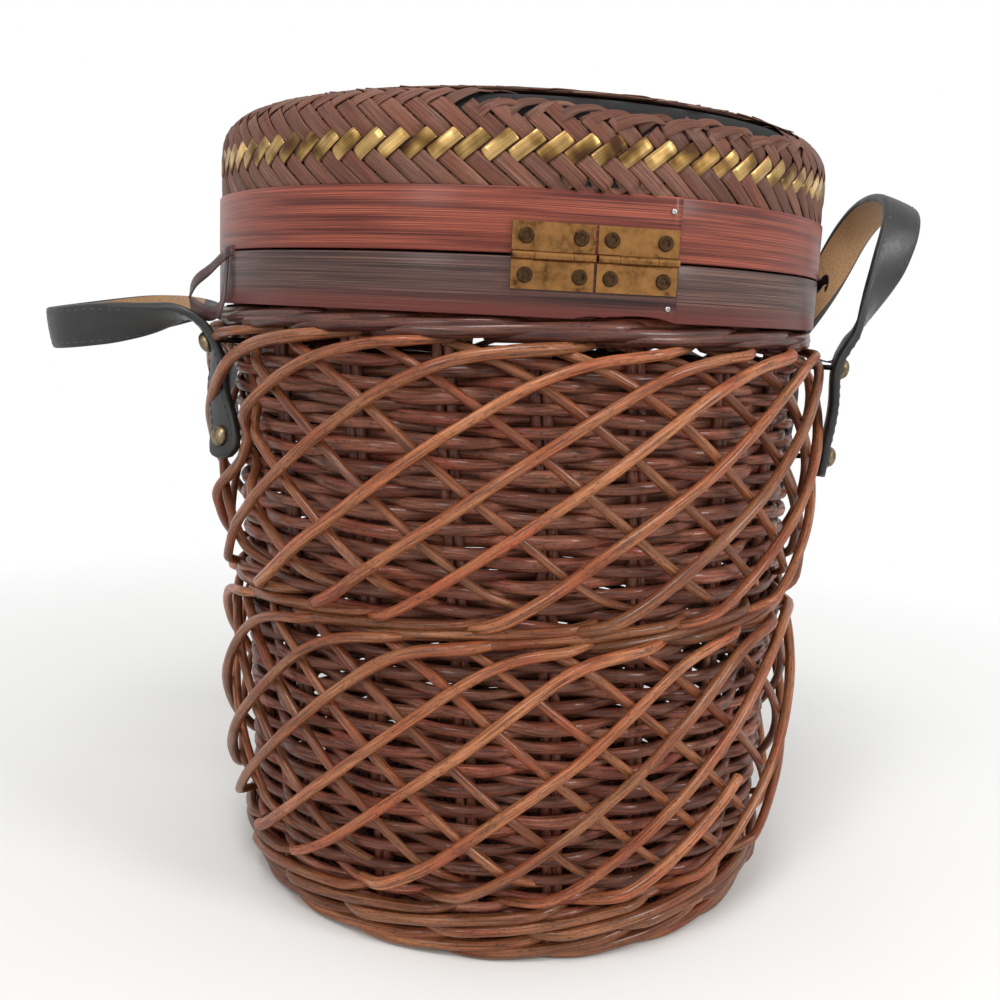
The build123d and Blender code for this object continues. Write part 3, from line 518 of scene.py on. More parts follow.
class BASKET_OT_wall(bpy.types.Operator):
    """Build the upright stakes and the rows of weavers"""

    bl_idname = "basket.wall"
    bl_label = "Woven wall"

    def execute(self, context):
        draw = random.Random(11)
        self.stakes(draw)
        self.weavers(context.scene.basket_sizes, draw)
        return {"FINISHED"}

    def stakes(self, draw):
        """A pair of stakes at each place, inside the weave"""
        stakes = Strands()
        height = np.linspace(STAKE_BOTTOM, STAKE_TOP, 44)
        for index in range(STAKES):
            for side in (-1, 1):
                turn = stake_turn(index, height) + side * PAIR_HALF
                turn = turn + 0.25 * sway(height / 30, index * 2 + side)
                path = polar(turn, wall_radius(height) - STAKE_INSET, height)
                stakes.rod(path, STAKE_RADIUS + draw.uniform(-0.15, 0.15), draw.uniform(0.75, 1.25))
        dark = stained_willow("stained_willow_stake", 0.8)
        seat(stakes.make("wall_stakes", [dark]), "basket", "willow_stakes", "stakes")

    def weavers(self, sizes, draw):
        """Rods that wind up the wall, before one stake and behind the next"""
        weavers = Strands()
        pitch, half = sizes.weave_pitch / MM, sizes.weaver_thickness / MM / 2
        number = 0
        for bottom, top in WEAVE_SPANS:
            start, total = 1, (top - bottom) / pitch * STAKES
            while start < total:
                end = min(start + draw.choice(WEAVER_REACHES), total)
                reach = np.arange(start - WEAVER_OVERLAP, end + WEAVER_OVERLAP, WEAVER_STEP)
                height = bottom + pitch * reach / STAKES
                turn = stake_turn(reach, height)
                # The rows rise and fall a little round the wall, and each weaver wavers by itself
                height = height + 0.9 * np.sin(np.radians(turn) * 3 + height * 0.03)
                height = height + 0.7 * np.sin(np.radians(turn) * 8 + height * 0.11)
                height = height + 0.6 * sway(reach * 1.3, number)
                # Steeper between two stakes than a cosine, and flatter over them
                swing = np.cos(math.pi * reach)
                swing = swing * (1.3 - 0.3 * swing ** 2)
                radius = wall_radius(height) - WEAVER_INSET + WEAVER_SWING * swing
                radius = radius + 0.4 * sway(reach, number + 500)
                radius = np.where(height > HOOP_LEVEL, np.minimum(radius, INSIDE_HOOP), radius)
                # Every other weaver is laid with its thin end first, and all are pressed thin between stakes
                taper = np.linspace(1.17, 0.86, len(reach))
                if number % 2:
                    taper = taper[::-1]
                thick = half * taper * (0.93 + 0.17 * np.abs(np.cos(math.pi * reach)))
                thick = thick * (1 + 0.09 * sway(reach * 2.2, number + 900)) * draw.uniform(0.9, 1.1)
                path = polar(turn, radius, np.minimum(height, WEAVE_TOP))
                weavers.rod(path, thick, draw.uniform(0.62, 1.35), flat=0.8)
                start = end
                number += 1
        seat(weavers.make("wall_weavers", [stained_willow()]), "basket", "willow_wall", "wall_weave")


# Lattice over the wall

# Height of each kind of lattice rod against its turn from where it crosses a middle height
UPPER_OUTER_RUN = [
    (-42.3, 154.7), (-39, 157.1), (-34.9, 161.8), (-28.6, 174.5), (-20.2, 190.9), (-9.9, 210.7), (0, 230.3),
    (9.6, 248.2), (16.2, 258.6), (21.2, 264.6), (26.2, 268.5), (31.9, 271), (37.9, 272.5), (41.9, 273.5),
]
UPPER_INNER_RUN = [
    (-36.8, 271), (-32.6, 268.5), (-29.5, 265.1), (-25, 258.6), (-17.2, 245.2), (-9.8, 230.3), (0, 210.5),
    (7.2, 195.8), (14.3, 181.3), (19.3, 171.7), (22.6, 167.8), (26.3, 165.3),
]
LOWER_OUTER_RUN = [
    (-42.8, 30.5), (-38.6, 33.7), (-33.8, 39), (-27.5, 51), (-21.7, 63.2), (-15.4, 77.4), (-6.8, 96.3),
    (0, 111.3), (6.2, 125.6), (11.4, 136.3), (16.1, 143.4), (21.8, 146.9), (28.4, 148.8), (32.2, 149.8),
]
LOWER_INNER_RUN = [
    (-22.7, 149.3), (-19.8, 147.4), (-17, 143.9), (-13.7, 138.9), (-8.6, 128.7), (0, 111.4), (8.2, 94.8),
    (15.4, 79.3), (22.2, 65.5), (28.5, 52.3), (31.6, 45.8), (34.7, 41.1), (37.2, 39),
]
# Turns where the rods in sight cross that middle height
UPPER_OUTER_TURNS = [-65.5, -44.0, -24.8, -8.1, 5.7, 23.8, 41.8, 61.2]
UPPER_INNER_TURNS = [-70.5, -52.9, -35.4, -17.6, 1.6, 16.9, 31.9, 48.0, 65.0]
LOWER_OUTER_TURNS = [-78.0, -60.1, -45.7, -29.1, -15.4, 4.6, 18.6, 34.1, 48.2, 65.6]
LOWER_INNER_TURNS = [-74.0, -57.0, -42.8, -28.8, -13.3, 1.0, 15.3, 30.1, 49.0, 66.5]
# One rod of the lower tier has lost what stood above this height
BROKEN_LOWER_ROD, BREAK_HEIGHT = 8, 82
# Bottom and top of each tier, and how full its swell is
UPPER_TIER, LOWER_TIER = (155.0, 275.0, 0.55), (30.0, 150.0, 0.7)
# How far each layer stands off the wall, and its share of the thickness
INNER_LAYER, OUTER_LAYER = (3.2, 0.9), (8.0, 1.06)
# How far the ends of a rod are tucked in beyond the wall's face, and over how many degrees
TUCK_DEPTH, TUCK_TURN = 7.0, 10.5
# Under the left front tab the rods are pressed in: its turn and height, and how deep
PRESS_TURN, PRESS_HEIGHT, PRESS_DEPTH = -80.0, 238, 11.0


def fill_round(turns):
    """Adds evenly placed turns so that there is one rod for each stake round the basket."""
    missing = STAKES - len(turns)
    gap = (turns[0] + 360 - turns[-1]) / (missing + 1)
    return turns + [turns[-1] + gap * (step + 1) for step in range(missing)]


def lattice_run(run):
    """Even steps of turn along a lattice rod, with the height at each. Both ends go on for 5 degrees."""
    (first, low), (second, low_next) = run[:2]
    (last_but, high_before), (last, high) = run[-2:]
    ahead = (first - 5, low - 5 * (low_next - low) / (second - first))
    beyond = (last + 5, high + 5 * (high - high_before) / (last - last_but))
    places, heights = zip(ahead, *run, beyond)
    step = np.arange(places[0], places[-1] + 0.1, 1.25)
    return step, soften(np.interp(step, places, heights), 14)


class BASKET_OT_lattice(bpy.types.Operator):
    """Build the two layers of slanting rods on both tiers"""

    bl_idname = "basket.lattice"
    bl_label = "Lattice rods"

    def execute(self, context):
        sizes = context.scene.basket_sizes
        half = sizes.lattice_thickness / MM / 2
        upper, lower = (*UPPER_TIER, sizes.upper_bulge / MM), (*LOWER_TIER, sizes.lower_bulge / MM)
        # The inner layers lie under the outer rods, against the wall: their lower tones, 0.74 and 0.8, are
        # painted shade
        layers = [
            ("upper_lattice_inner", upper, UPPER_INNER_RUN, UPPER_INNER_TURNS, INNER_LAYER, 0.74),
            ("upper_lattice_outer", upper, UPPER_OUTER_RUN, UPPER_OUTER_TURNS, OUTER_LAYER, 1.0),
            ("lower_lattice_inner", lower, LOWER_INNER_RUN, LOWER_INNER_TURNS, INNER_LAYER, 0.8),
            ("lower_lattice_outer", lower, LOWER_OUTER_RUN, LOWER_OUTER_TURNS, OUTER_LAYER, 1.0),
        ]
        material = varnished_willow()
        for name, tier, run, turns, (stand_off, thickness), tone in layers:
            draw = random.Random(name)
            rods = Strands()
            step, run_height = lattice_run(run)
            ends = np.minimum(step - step[0], step[-1] - step)
            for number, middle in enumerate(fill_round(turns)):
                seen = number < len(turns)
                turn = step + middle + (0.35 if seen else 1.2) * sway(step / 17, number * 7 + len(name))
                height = run_height + 0.5 * sway(step / 9, number * 13 + len(name))
                uneven = 0.35 * sway(step / 11, number * 17 + 3)
                radius = self.radius(tier, height, stand_off, ends) + uneven
                radius = radius - self.pressed(turn, height)
                # Some rods are laid with their thin end first
                taper = np.linspace(1.14, 0.84, len(step))
                if draw.random() < 0.4:
                    taper = taper[::-1]
                thick = half * thickness * taper * (1 + 0.05 * sway(step / 3, number + 40))
                thick = thick * np.interp(ends, [0, 5, 9], [0.6, 0.85, 1.0])
                path = polar(turn, radius, height)
                if name == "lower_lattice_outer" and number == BROKEN_LOWER_ROD:
                    kept = height < BREAK_HEIGHT
                    path, thick = path[kept], thick[kept]
                rods.rod(path, thick, tone * draw.uniform(0.72, 1.3), sides=10)
            piece = rods.make("rods_" + name, [material])
            seat(piece, "basket", "willow_lattice", name)
        return {"FINISHED"}

    def radius(self, tier, height, stand_off, ends):
        """Radius along a rod that swells from the wall and is tucked in at both ends"""
        bottom, top, fullness, bulge = tier
        share = np.clip((height - bottom) / (top - bottom), 0, 1)
        radius = wall_radius(height) + stand_off + bulge * np.sin(math.pi * share) ** fullness
        return radius - (stand_off + TUCK_DEPTH) * np.clip(1 - ends / TUCK_TURN, 0, 1) ** 1.15

    def pressed(self, turn, height):
        """How far a rod is pressed in under the left front tab"""
        beside = np.clip(1.9 - np.abs(turn - PRESS_TURN) / 10.5, 0, 1)
        beside = beside * np.clip(2.0 - np.abs(height - PRESS_HEIGHT) / 25, 0, 1)
        return PRESS_DEPTH * beside ** 2 * (3 - 2 * beside)


# Borders and bands

# Each wale: the turn that a rod spans, its first and last height, how far it stands off the wall, the phase
# of its first rod, how deep its ends are tucked in, and its tone
RIM_WALE = (46, 276.0, 281.6, 3.2, 3.0, 6.5, 0.85)
WAIST_WALE = (44, 147.5, 158.0, 3.2, -2.0, 8.0, 0.95)
FOOT_WALE = (46, 13.5, 27.5, 3.2, -6.0, 8.0, 0.85)
# Radius of the rods of the waist and the foot band, of the foot's edge and of the ring under it
WAIST_ROD, FOOT_ROD, EDGE_ROD, UNDER_ROD = 2.65, 2.75, 3.05, 2.7


def wale(rods, draw, half, span, low, high, stand_off, phase, tuck, tone):
    """Rods that each rise over two or three stakes, one begun at each stake, like a rope round the wall."""
    share = np.linspace(0, 1, 34)
    ends = np.clip(1 - np.minimum(share, 1 - share) * span / 7, 0, 1)
    for index in range(STAKES):
        turn = phase + index * STAKE_PITCH + span * share + draw.uniform(-1.2, 1.2)
        height = low + (high - low) * share + 0.4 * sway(share * 5, index + int(low))
        radius = wall_radius(height) + stand_off - tuck * ends ** 1.6
        radius = radius + 0.3 * sway(share * 4, index * 3 + int(high))
        thick = half * np.linspace(1.1, 0.86, len(share)) * draw.uniform(0.93, 1.06)
        rods.rod(polar(turn, radius, height), thick, tone * draw.uniform(0.75, 1.3), sides=10)


class BASKET_OT_borders(bpy.types.Operator):
    """Build the borders at the rim and the foot and the bands at the waist and the foot"""

    bl_idname = "basket.borders"
    bl_label = "Borders and bands"

    def execute(self, context):
        half = context.scene.basket_sizes.border_thickness / MM / 2
        dark = border_willow()
        light = band_willow()
        for name, seed, thick, form, material, node in (
            ("rim_border_rods", 21, half, RIM_WALE, dark, "top_border"),
            ("waist_band_rods", 22, WAIST_ROD, WAIST_WALE, light, "waist_band"),
            ("foot_band_rods", 23, FOOT_ROD, FOOT_WALE, light, "foot_band"),
        ):
            rods = Strands()
            wale(rods, random.Random(seed), thick, *form)
            seat(rods.make(name, [material]), "basket", "willow_wall", node)
        self.foot(light)
        return {"FINISHED"}

    def foot(self, material):
        """Border that the basket stands on, with a ring of rods that turn in under the base"""
        edge = Strands()
        draw = random.Random(24)
        share = np.linspace(0, 1, 40)
        height = soften(np.interp(share, [0, 0.06, 0.14, 0.3, 0.75, 1], [12.5, 6.5, 3.2, 3.1, 7.6, 11.5]), 4)
        outs = [122, 126, 129, 131.4, 131.8, 129.5, 124]
        out = soften(np.interp(share, [0, 0.06, 0.14, 0.3, 0.75, 0.9, 1], outs), 4)
        for index in range(STAKES):
            turn = -10 + index * STAKE_PITCH + 50 * share + draw.uniform(-1, 1)
            thick = EDGE_ROD * np.linspace(1.0, 0.86, len(share)) * draw.uniform(0.95, 1.02)
            path = polar(turn, out, np.maximum(height, 3.15))
            edge.rod(path, thick, draw.uniform(0.75, 1.2), sides=10)
        share = np.linspace(0, 1, 30)
        height = soften(np.interp(share, [0, 0.3, 0.7, 1], [7.5, 3.2, 3.2, 7.0]), 3)
        out = soften(np.interp(share, [0, 0.3, 0.7, 1], [115, 120.5, 123.5, 117]), 4)
        for index in range(STAKES):
            path = polar(4 + index * STAKE_PITCH + 34 * share, out, np.maximum(height, 2.9))
            edge.rod(path, UNDER_ROD, draw.uniform(0.7, 1.1))
        seat(edge.make("foot_border_rods", [material]), "basket", "willow_wall", "foot_border")


# Base

BASE_HEIGHT, SPOKES, SPOKE_REACH, SPOKE_RADIUS = 14.6, 32, 123.5, 2.0
BASE_RINGS, BASE_PITCH, BASE_INNER, BASE_ROD, BASE_SWING = 21, 4.9, 21.0, 2.25, 2.5


class BASKET_OT_base(bpy.types.Operator):
    """Build the woven base and the crossed sticks under it"""

    bl_idname = "basket.base"
    bl_label = "Base"

    def execute(self, context):
        draw = random.Random(31)
        sticks = Strands()
        for index in range(SPOKES // 2):
            reach = np.linspace(-SPOKE_REACH, SPOKE_REACH, 64)
            path = polar(index * 360 / SPOKES, reach, BASE_HEIGHT + 0.35 * math.sin(index * 2.1))
            sticks.rod(path, SPOKE_RADIUS, draw.uniform(0.75, 1.2), facing=UP)
        seat(sticks.make("base_spokes", [border_willow()]), "basket", "willow_stakes", "base_sticks")

        weave = Strands()
        # One more step than there are spokes in a ring, so that each ring passes the other side of a spoke
        per_ring = SPOKES + 1
        reach = np.arange(0, per_ring + 0.3, 0.14)
        turn = reach * 360 / per_ring
        for ring in range(BASE_RINGS):
            radius = BASE_INNER + BASE_PITCH * (ring + reach / per_ring)
            swing = np.cos(math.pi * (turn / 360 * SPOKES + ring + reach / per_ring))
            path = polar(turn, radius, BASE_HEIGHT + BASE_SWING * swing)
            weave.rod(path, BASE_ROD, draw.uniform(0.75, 1.25), facing=UP)
        willow = stained_willow("stained_base_willow")
        seat(weave.make("base_weavers", [willow]), "basket", "willow_wall", "base_weave")
        return {"FINISHED"}


# Hoops

HOOP_THICKNESS, HOOP_EASE, STAIN_WANDER = 2.4, 0.5, 9.0
# Lower and upper edge of each hoop
LID_HOOP, RIM_HOOP = (307.85, 332.85), (283.95, 306.95)
# Chips in a hoop's edge: turn, half width in degrees, depth, and whether the edge is the upper one
LID_CHIPS = ((-0.6, 1.1, 0.6, True), (2.9, 1.3, 0.7, True))
RIM_CHIPS = ((0.5, 3.0, 1.3, False), (7.5, 5.2, 2.2, False))


def hoop_radius(turn, inset):
    """Radius of a bent hoop at a turn: a flat at the hinges that ends in a lap, and a circle elsewhere."""
    turn = wrap_turn(np.asarray(turn, float))
    flat = RIM_FLAT / np.cos(np.radians(np.clip(turn, -40, 40)))
    start = math.degrees(math.acos(RIM_FLAT / RIM_RADIUS))
    return np.where((turn > -start) & (turn < LAP_TURN), flat, RIM_RADIUS) - inset


def hoop_section():
    """Points of a hoop's section with eased corners: inset, share of the height, and a step from it."""
    section = []
    corners = ((0, 0, 1, 1), (0, 1, 1, -1), (HOOP_THICKNESS, 1, -1, -1), (HOOP_THICKNESS, 0, -1, 1))
    for inset, share, ease_in, ease_up in corners:
        for angle in (0, 45, 90):
            swing = math.radians(angle)
            if ease_in * ease_up > 0:
                swing = math.pi / 2 - swing
            aside = inset + ease_in * HOOP_EASE * (1 - math.cos(swing))
            section.append((aside, share, ease_up * HOOP_EASE * (1 - math.sin(swing))))
    return section


def bamboo_hoop(name, edges, chips, seed, material):
    """Bent bamboo hoop with eased edges, chips on one edge and the end of its lap."""
    hoop = Strands()
    low, high = edges
    # Once round from the lap, with the last row just short of the first one
    turns = np.concatenate([[LAP_TURN + 0.05], np.arange(14, 373, 1.0), [LAP_TURN + 359.98]])
    wrapped = wrap_turn(turns)
    section = hoop_section()
    rows = []
    for inset, share, ease in section:
        wave = 0.25 * sway(np.radians(turns) * 3, seed + int(share))
        height = low + (high - low) * share + ease + wave * (0.6 if share else 0.4)
        for place, width, depth, on_top in chips:
            if bool(share) == on_top:
                bite = np.clip(1 - ((wrapped - place) / width) ** 2, 0, 1) ** 0.6
                height = height + (-depth if on_top else depth) * bite
        radius = hoop_radius(turns, inset) + 0.15 * sway(np.radians(turns) * 5, seed + 9)
        rows.append(polar(turns, radius, height))
    rows = np.stack(rows, axis=1)
    # The hoop closes on itself at the end of its lap: its last row meets its first, and it has no caps
    rows = np.concatenate([rows, rows[:1]])
    length = np.radians(np.append(turns, turns[0] + 360)) * RIM_RADIUS
    insets = np.array([inset for inset, _, _ in section])[None, :]
    hoop.add(rows, grain_field(rows.shape, length[:, None], rows[..., 2], insets), 1.0, caps=False)
    return hoop.make(name, [material])


def bamboo_material(name, colour, dark, pale, edge, edge_colour, streak_mm=0.32):
    """Split bamboo, bent and stained: straight fibres along the hoop, with long dark and pale streaks.

    Edge gives two heights, from where the colour of a stained edge is whole to where it ends."""
    material, shader = start_material(
        name, Roughness=0.42, Coat_Weight=0.16, Coat_Roughness=0.22, Specular_IOR_Level=0.22
    )
    grain = attribute(material, "grain", "Vector")
    # Fibres 130 mm long, and streaks 110 mm long and 3.4 mm wide
    fine = noise(material, scaled(material, grain, (1 / 130, 1 / streak_mm, 0.3)), 1.0, 6.0, 0.7)
    broad = noise(material, scaled(material, grain, (1 / 110, 1 / 3.4, 0.2)), 1.0, 4.0)
    fibre_tones = tones(colour, (0.38, 0.2), (0.47, 0.8), (0.54, 1.25)) + tones(pale, (0.64, 1.15))
    fibres = ramp(material, fine, fibre_tones)
    stain = remap(material, broad, (0.46, 0.68), (0.0, 0.85))
    stained = mix(material, stain, fibres, shade(dark), "MULTIPLY")
    # The broad streaks, 0.5 in the mean, let the edge of the stain wander up and down
    height = add_node(material, "ShaderNodeSeparateXYZ", {0: grain}).outputs["Y"]
    level = maths(material, "ADD", height, maths(material, "MULTIPLY", broad, STAIN_WANDER))
    low = remap(material, level, (edge[0] + STAIN_WANDER / 2, edge[1] + STAIN_WANDER / 2), (0.8, 0.0))
    link(material, mix(material, low, stained, shade(edge_colour)), shader.inputs["Base Color"])
    link(material, remap(material, fine, (0.3, 0.7), (0.32, 0.55)), shader.inputs["Roughness"])
    bump(material, shader, 0.6, 0.22, fine)
    return material


class BASKET_OT_hoops(bpy.types.Operator):
    """Build the bent bamboo hoops of the rim and the lid"""

    bl_idname = "basket.hoops"
    bl_label = "Bamboo hoops"

    def execute(self, context):
        colours = context.scene.basket_colours
        lid = bamboo_material(
            "stained_bamboo_lid_hoop", colours.lid_hoop, "8c5050", "a85c44", (307.0, 309.0), "6a2a22"
        )
        rim = bamboo_material(
            "stained_bamboo_rim_hoop", colours.basket_hoop, "8a6a68", "7a5e50", (286.0, 293.5), "642a24"
        )
        inner = bamboo_material(
            "stained_bamboo_inner_hoop", colours.basket_hoop, "8a6a68", "7a5e50", (0.0, 1.0), "4c332e", 0.8
        )
        lid_hoop = bamboo_hoop("lid_hoop_bamboo", LID_HOOP, LID_CHIPS, 3, lid)
        seat(lid_hoop, "lid", "bamboo_hoop_lid", "lid_hoop")
        rim_hoop = bamboo_hoop("rim_hoop_bamboo", RIM_HOOP, RIM_CHIPS, 5, rim)
        seat(rim_hoop, "basket", "bamboo_hoop_basket", "basket_hoop")
        finish_nodes(inner, "basket_inner_hoop", "lid_inner_hoop")
        return {"FINISHED"}


# Hinges and nails


def metal_material(name, colour, dull, roughness, stain_mm, grime):
    """Metal with worn and tarnished patches."""
    material, shader = start_material(name, Metallic=1.0, Roughness=roughness)
    stains = noise(material, object_place(material), 1 / (stain_mm * MM), 6.0, 0.65)
    patches = tones(dull, (0.3, 0.6)) + tones(colour, (0.46, 0.75), (0.62, 1.1), (0.75, 1.35))
    link(material, ramp(material, stains, patches), shader.inputs["Base Color"])
    rough = remap(material, stains, (0.3, 0.7), (min(1.0, roughness + grime), max(0.08, roughness - 0.08)))
    link(material, rough, shader.inputs["Roughness"])
    bump(material, shader, 0.35, 0.12, stains)
    return material


class BASKET_OT_hinges(bpy.types.Operator):
    """Finish the two butt hinges, their fasteners and the hoop nails"""

    bl_idname = "basket.hinges"
    bl_label = "Hinges and nails"

    def execute(self, context):
        # Rolled brass, pressed and left to tarnish: gold-brown with brown stains
        brass = context.scene.basket_colours.brass
        leaf = metal_material("rolled_aged_brass", brass, "5a3c22", 0.3, 6.0, 0.2)
        for side in ("left", "right"):
            finish_nodes(leaf, f"basket_hinge_leaf_{side}", f"lid_hinge_leaf_{side}", f"hinge_pin_{side}")
        # The same brass in the heads, gone nearly black
        head = metal_material("tarnished_brass_head", "4a3725", "221912", 0.42, 2.0, 0.2)
        finish_nodes(head, "basket_hinge_screws", "lid_hinge_screws")
        # Drawn steel: a bright point on each hoop
        nail = metal_material("bright_drawn_steel", "c8c8c6", "8c8c88", 0.25, 1.0, 0.1)
        finish_nodes(nail, "basket_hoop_nail", "lid_hoop_nail")
        return {"FINISHED"}


# Lid

PLAIT_STRIPS = 88
PLAIT_PITCH = 360.0 / PLAIT_STRIPS
PLAIT_BOTTOM, PLAIT_RADIUS = 333.05, 148.2
SHOULDER_START, SHOULDER_RADIUS = 353.95, 16.8
ROW_START, ROW_RISE = 4.45, 4.2
# Rows in which the rising strips lie over the falling ones, and the other way round
RISING_OVER = (2, 3, 7, 8)
FALLING_OVER = tuple(row for row in range(-2, 14) if row not in RISING_OVER)
# First row, the last row of whole strips, and that of the rising strips at the tear
FIRST_ROW, TOP_ROW, TORN_ROW = -1.7, 11.2, 4.6
# Turns between which the shoulder has come apart
TEAR = (-23.0, 43.0)
STRIP_THICKNESS, FOIL_THICKNESS, FOIL_LIFT = 0.5, 0.3, 0.42
# Spacing and width of the top panel's strips, the panel's radius, and the height and crown of its middle face
TOP_PITCH, TOP_STRIP, TOP_REACH, TOP_HEIGHT, TOP_CROWN = 7.0, 6.7, 128.6, 372.3, 1.6
# Radius and height of the strip that binds the panel, and its section round them
BINDING_RADIUS, BINDING_HEIGHT = 128.9, 371.7
BINDING_SECTION = ((-0.9, -0.5), (0.7, -0.5), (0.9, 0.4), (0.7, 1.1), (-0.6, 1.3), (-0.9, 0.4))
# Radius and height of the thin board under the plait
BOARD_SECTION = ((0.5, 371.3), (60.0, 371.3), (128.6, 371.25), (128.6, 371.6), (60.0, 372.0), (0.5, 372.4))
LOOSE_ENDS = 26


def plait_place(turn, reach, lift):
    """Point on the lid's plait: reach is measured up the wall and over the shoulder, lift off its face."""
    turn, reach, lift = np.broadcast_arrays(turn, reach, lift)
    straight = SHOULDER_START - PLAIT_BOTTOM
    bend = np.clip((reach - straight) / SHOULDER_RADIUS, 0, math.pi / 2)
    beyond = np.maximum(reach - straight - SHOULDER_RADIUS * math.pi / 2, 0)
    centre = PLAIT_RADIUS - SHOULDER_RADIUS
    radius = centre + (SHOULDER_RADIUS + lift) * np.cos(bend) - beyond
    # The plait's foot stands inside the hoop. Where the hoop is flat it is pressed in to stay inside: to the
    # hoop's face over its lowest 13 mm, and behind the hoop's edge over its lowest 2.7 mm
    held, tucked = np.clip((13.0 - reach) / 11.0, 0, 1), np.clip((2.7 - reach) / 1.6, 0, 1)
    proud = PLAIT_RADIUS - hoop_radius(turn, 0.0)
    pressed = np.maximum(held * (proud - 0.75), tucked * (proud + 1.1))
    radius = radius - np.maximum(pressed, 0) - 0.4 * tucked * np.maximum(lift, 0)
    height = PLAIT_BOTTOM + np.minimum(reach, straight) + (SHOULDER_RADIUS + lift) * np.sin(bend)
    return polar(turn, radius, height)


def width_line(path, turn, reach, lift):
    """Direction of a strip's width: in the face of the plait and square to the strip's path."""
    off_face = plait_place(turn, reach, lift + 1.0) - plait_place(turn, reach, lift)
    return np.cross(off_face, np.gradient(path, axis=0))


def plait_lift(row, over_rows, amount):
    """How far a strip lies off the plait's middle face: over in some rows and under in the others."""
    nearest = np.round(row)
    level, before, after = [np.isin(nearest + step, over_rows) * 2.0 - 1.0 for step in (0, -1, 1)]
    offset = row - nearest
    early = np.clip((-offset - 0.22) / 0.28, 0, 1) * 0.5
    late = np.clip((offset - 0.22) / 0.28, 0, 1) * 0.5
    return amount * (level + (before - level) * early + (after - level) * late)


def in_tear(turn, margin=0.0):
    """Whether a turn lies in the part of the shoulder that has come apart."""
    return TEAR[0] - margin < wrap_turn(turn) < TEAR[1] + margin


def tear_drop(turn):
    """Rows that the torn edge lies lower where most of it has gone."""
    return float(np.interp(wrap_turn(turn), (-12, 0, 30, 40), (0.0, 0.5, 0.5, 0.0)))


def plait_material():
    """Split bamboo, dyed and plaited dry: dull mauve-brown with pale and dark fibres along each strip."""
    colour = bpy.context.scene.basket_colours.plait
    return wood_material(
        "dyed_plaited_bamboo", colour, "944c3c", (0.34, 26), 0.6, 0.05, 0.3, speck=0.2, reddest=0.35
    )


def brass_strip_material():
    """Thin rolled brass, worn by handling: gold, with brown where the plait shows through and paler patches
    that are painted highlight.
    """
    colour = bpy.context.scene.basket_colours.brass_foil
    material, shader = start_material("thin_rolled_brass", Metallic=1.0, Roughness=0.3)
    grain = attribute(material, "grain", "Vector")
    # Patches of about 15 mm, from brown wear to pale gold that is painted highlight, and scratches 20 mm long
    # and 0.4 mm apart
    wear = noise(material, scaled(material, grain, (0.075, 0.06, 0.06)), 1.0, 2.0)
    scratches = noise(material, scaled(material, grain, (0.05, 2.6, 2.6)), 1.0, 4.0)
    # The ramp runs from brown wear to pale gold at 1.5 times the colour, which is painted highlight
    wear_and_highlight_tones = [(0.34, shade("553a28")), (0.45, shade("86683a")), *tones(colour, (0.55, 1.0), (0.7, 1.5))]
    foil = ramp(material, wear, wear_and_highlight_tones)
    toned = mix(material, 1.0, foil, attribute(material, "tone", "Fac"), "MULTIPLY")
    scraped = remap(material, scratches, (0.4, 0.65), (0.7, 1.15))
    link(material, mix(material, 1.0, toned, scraped, "MULTIPLY"), shader.inputs["Base Color"])
    link(material, remap(material, wear, (0.3, 0.7), (0.6, 0.24)), shader.inputs["Roughness"])
    bump(material, shader, 0.4, 0.15, scratches)
    return material


def lining_material():
    """Lining board in near black, which is painted shade of the closed lid's inside: matt, and faintly uneven
    from the cloth that faces it.
    """
    material, shader = start_material("painted_shade_lining_board", Roughness=0.85, Specular_IOR_Level=0.3)
    cloth = noise(material, object_place(material), 1 / (1.6 * MM), 4.0)
    black = ramp(material, cloth, [(0.3, shade("0b0a0a")), (0.7, shade("1f1d1d"))])
    link(material, black, shader.inputs["Base Color"])
    bump(material, shader, 0.5, 0.4, cloth)
    return material


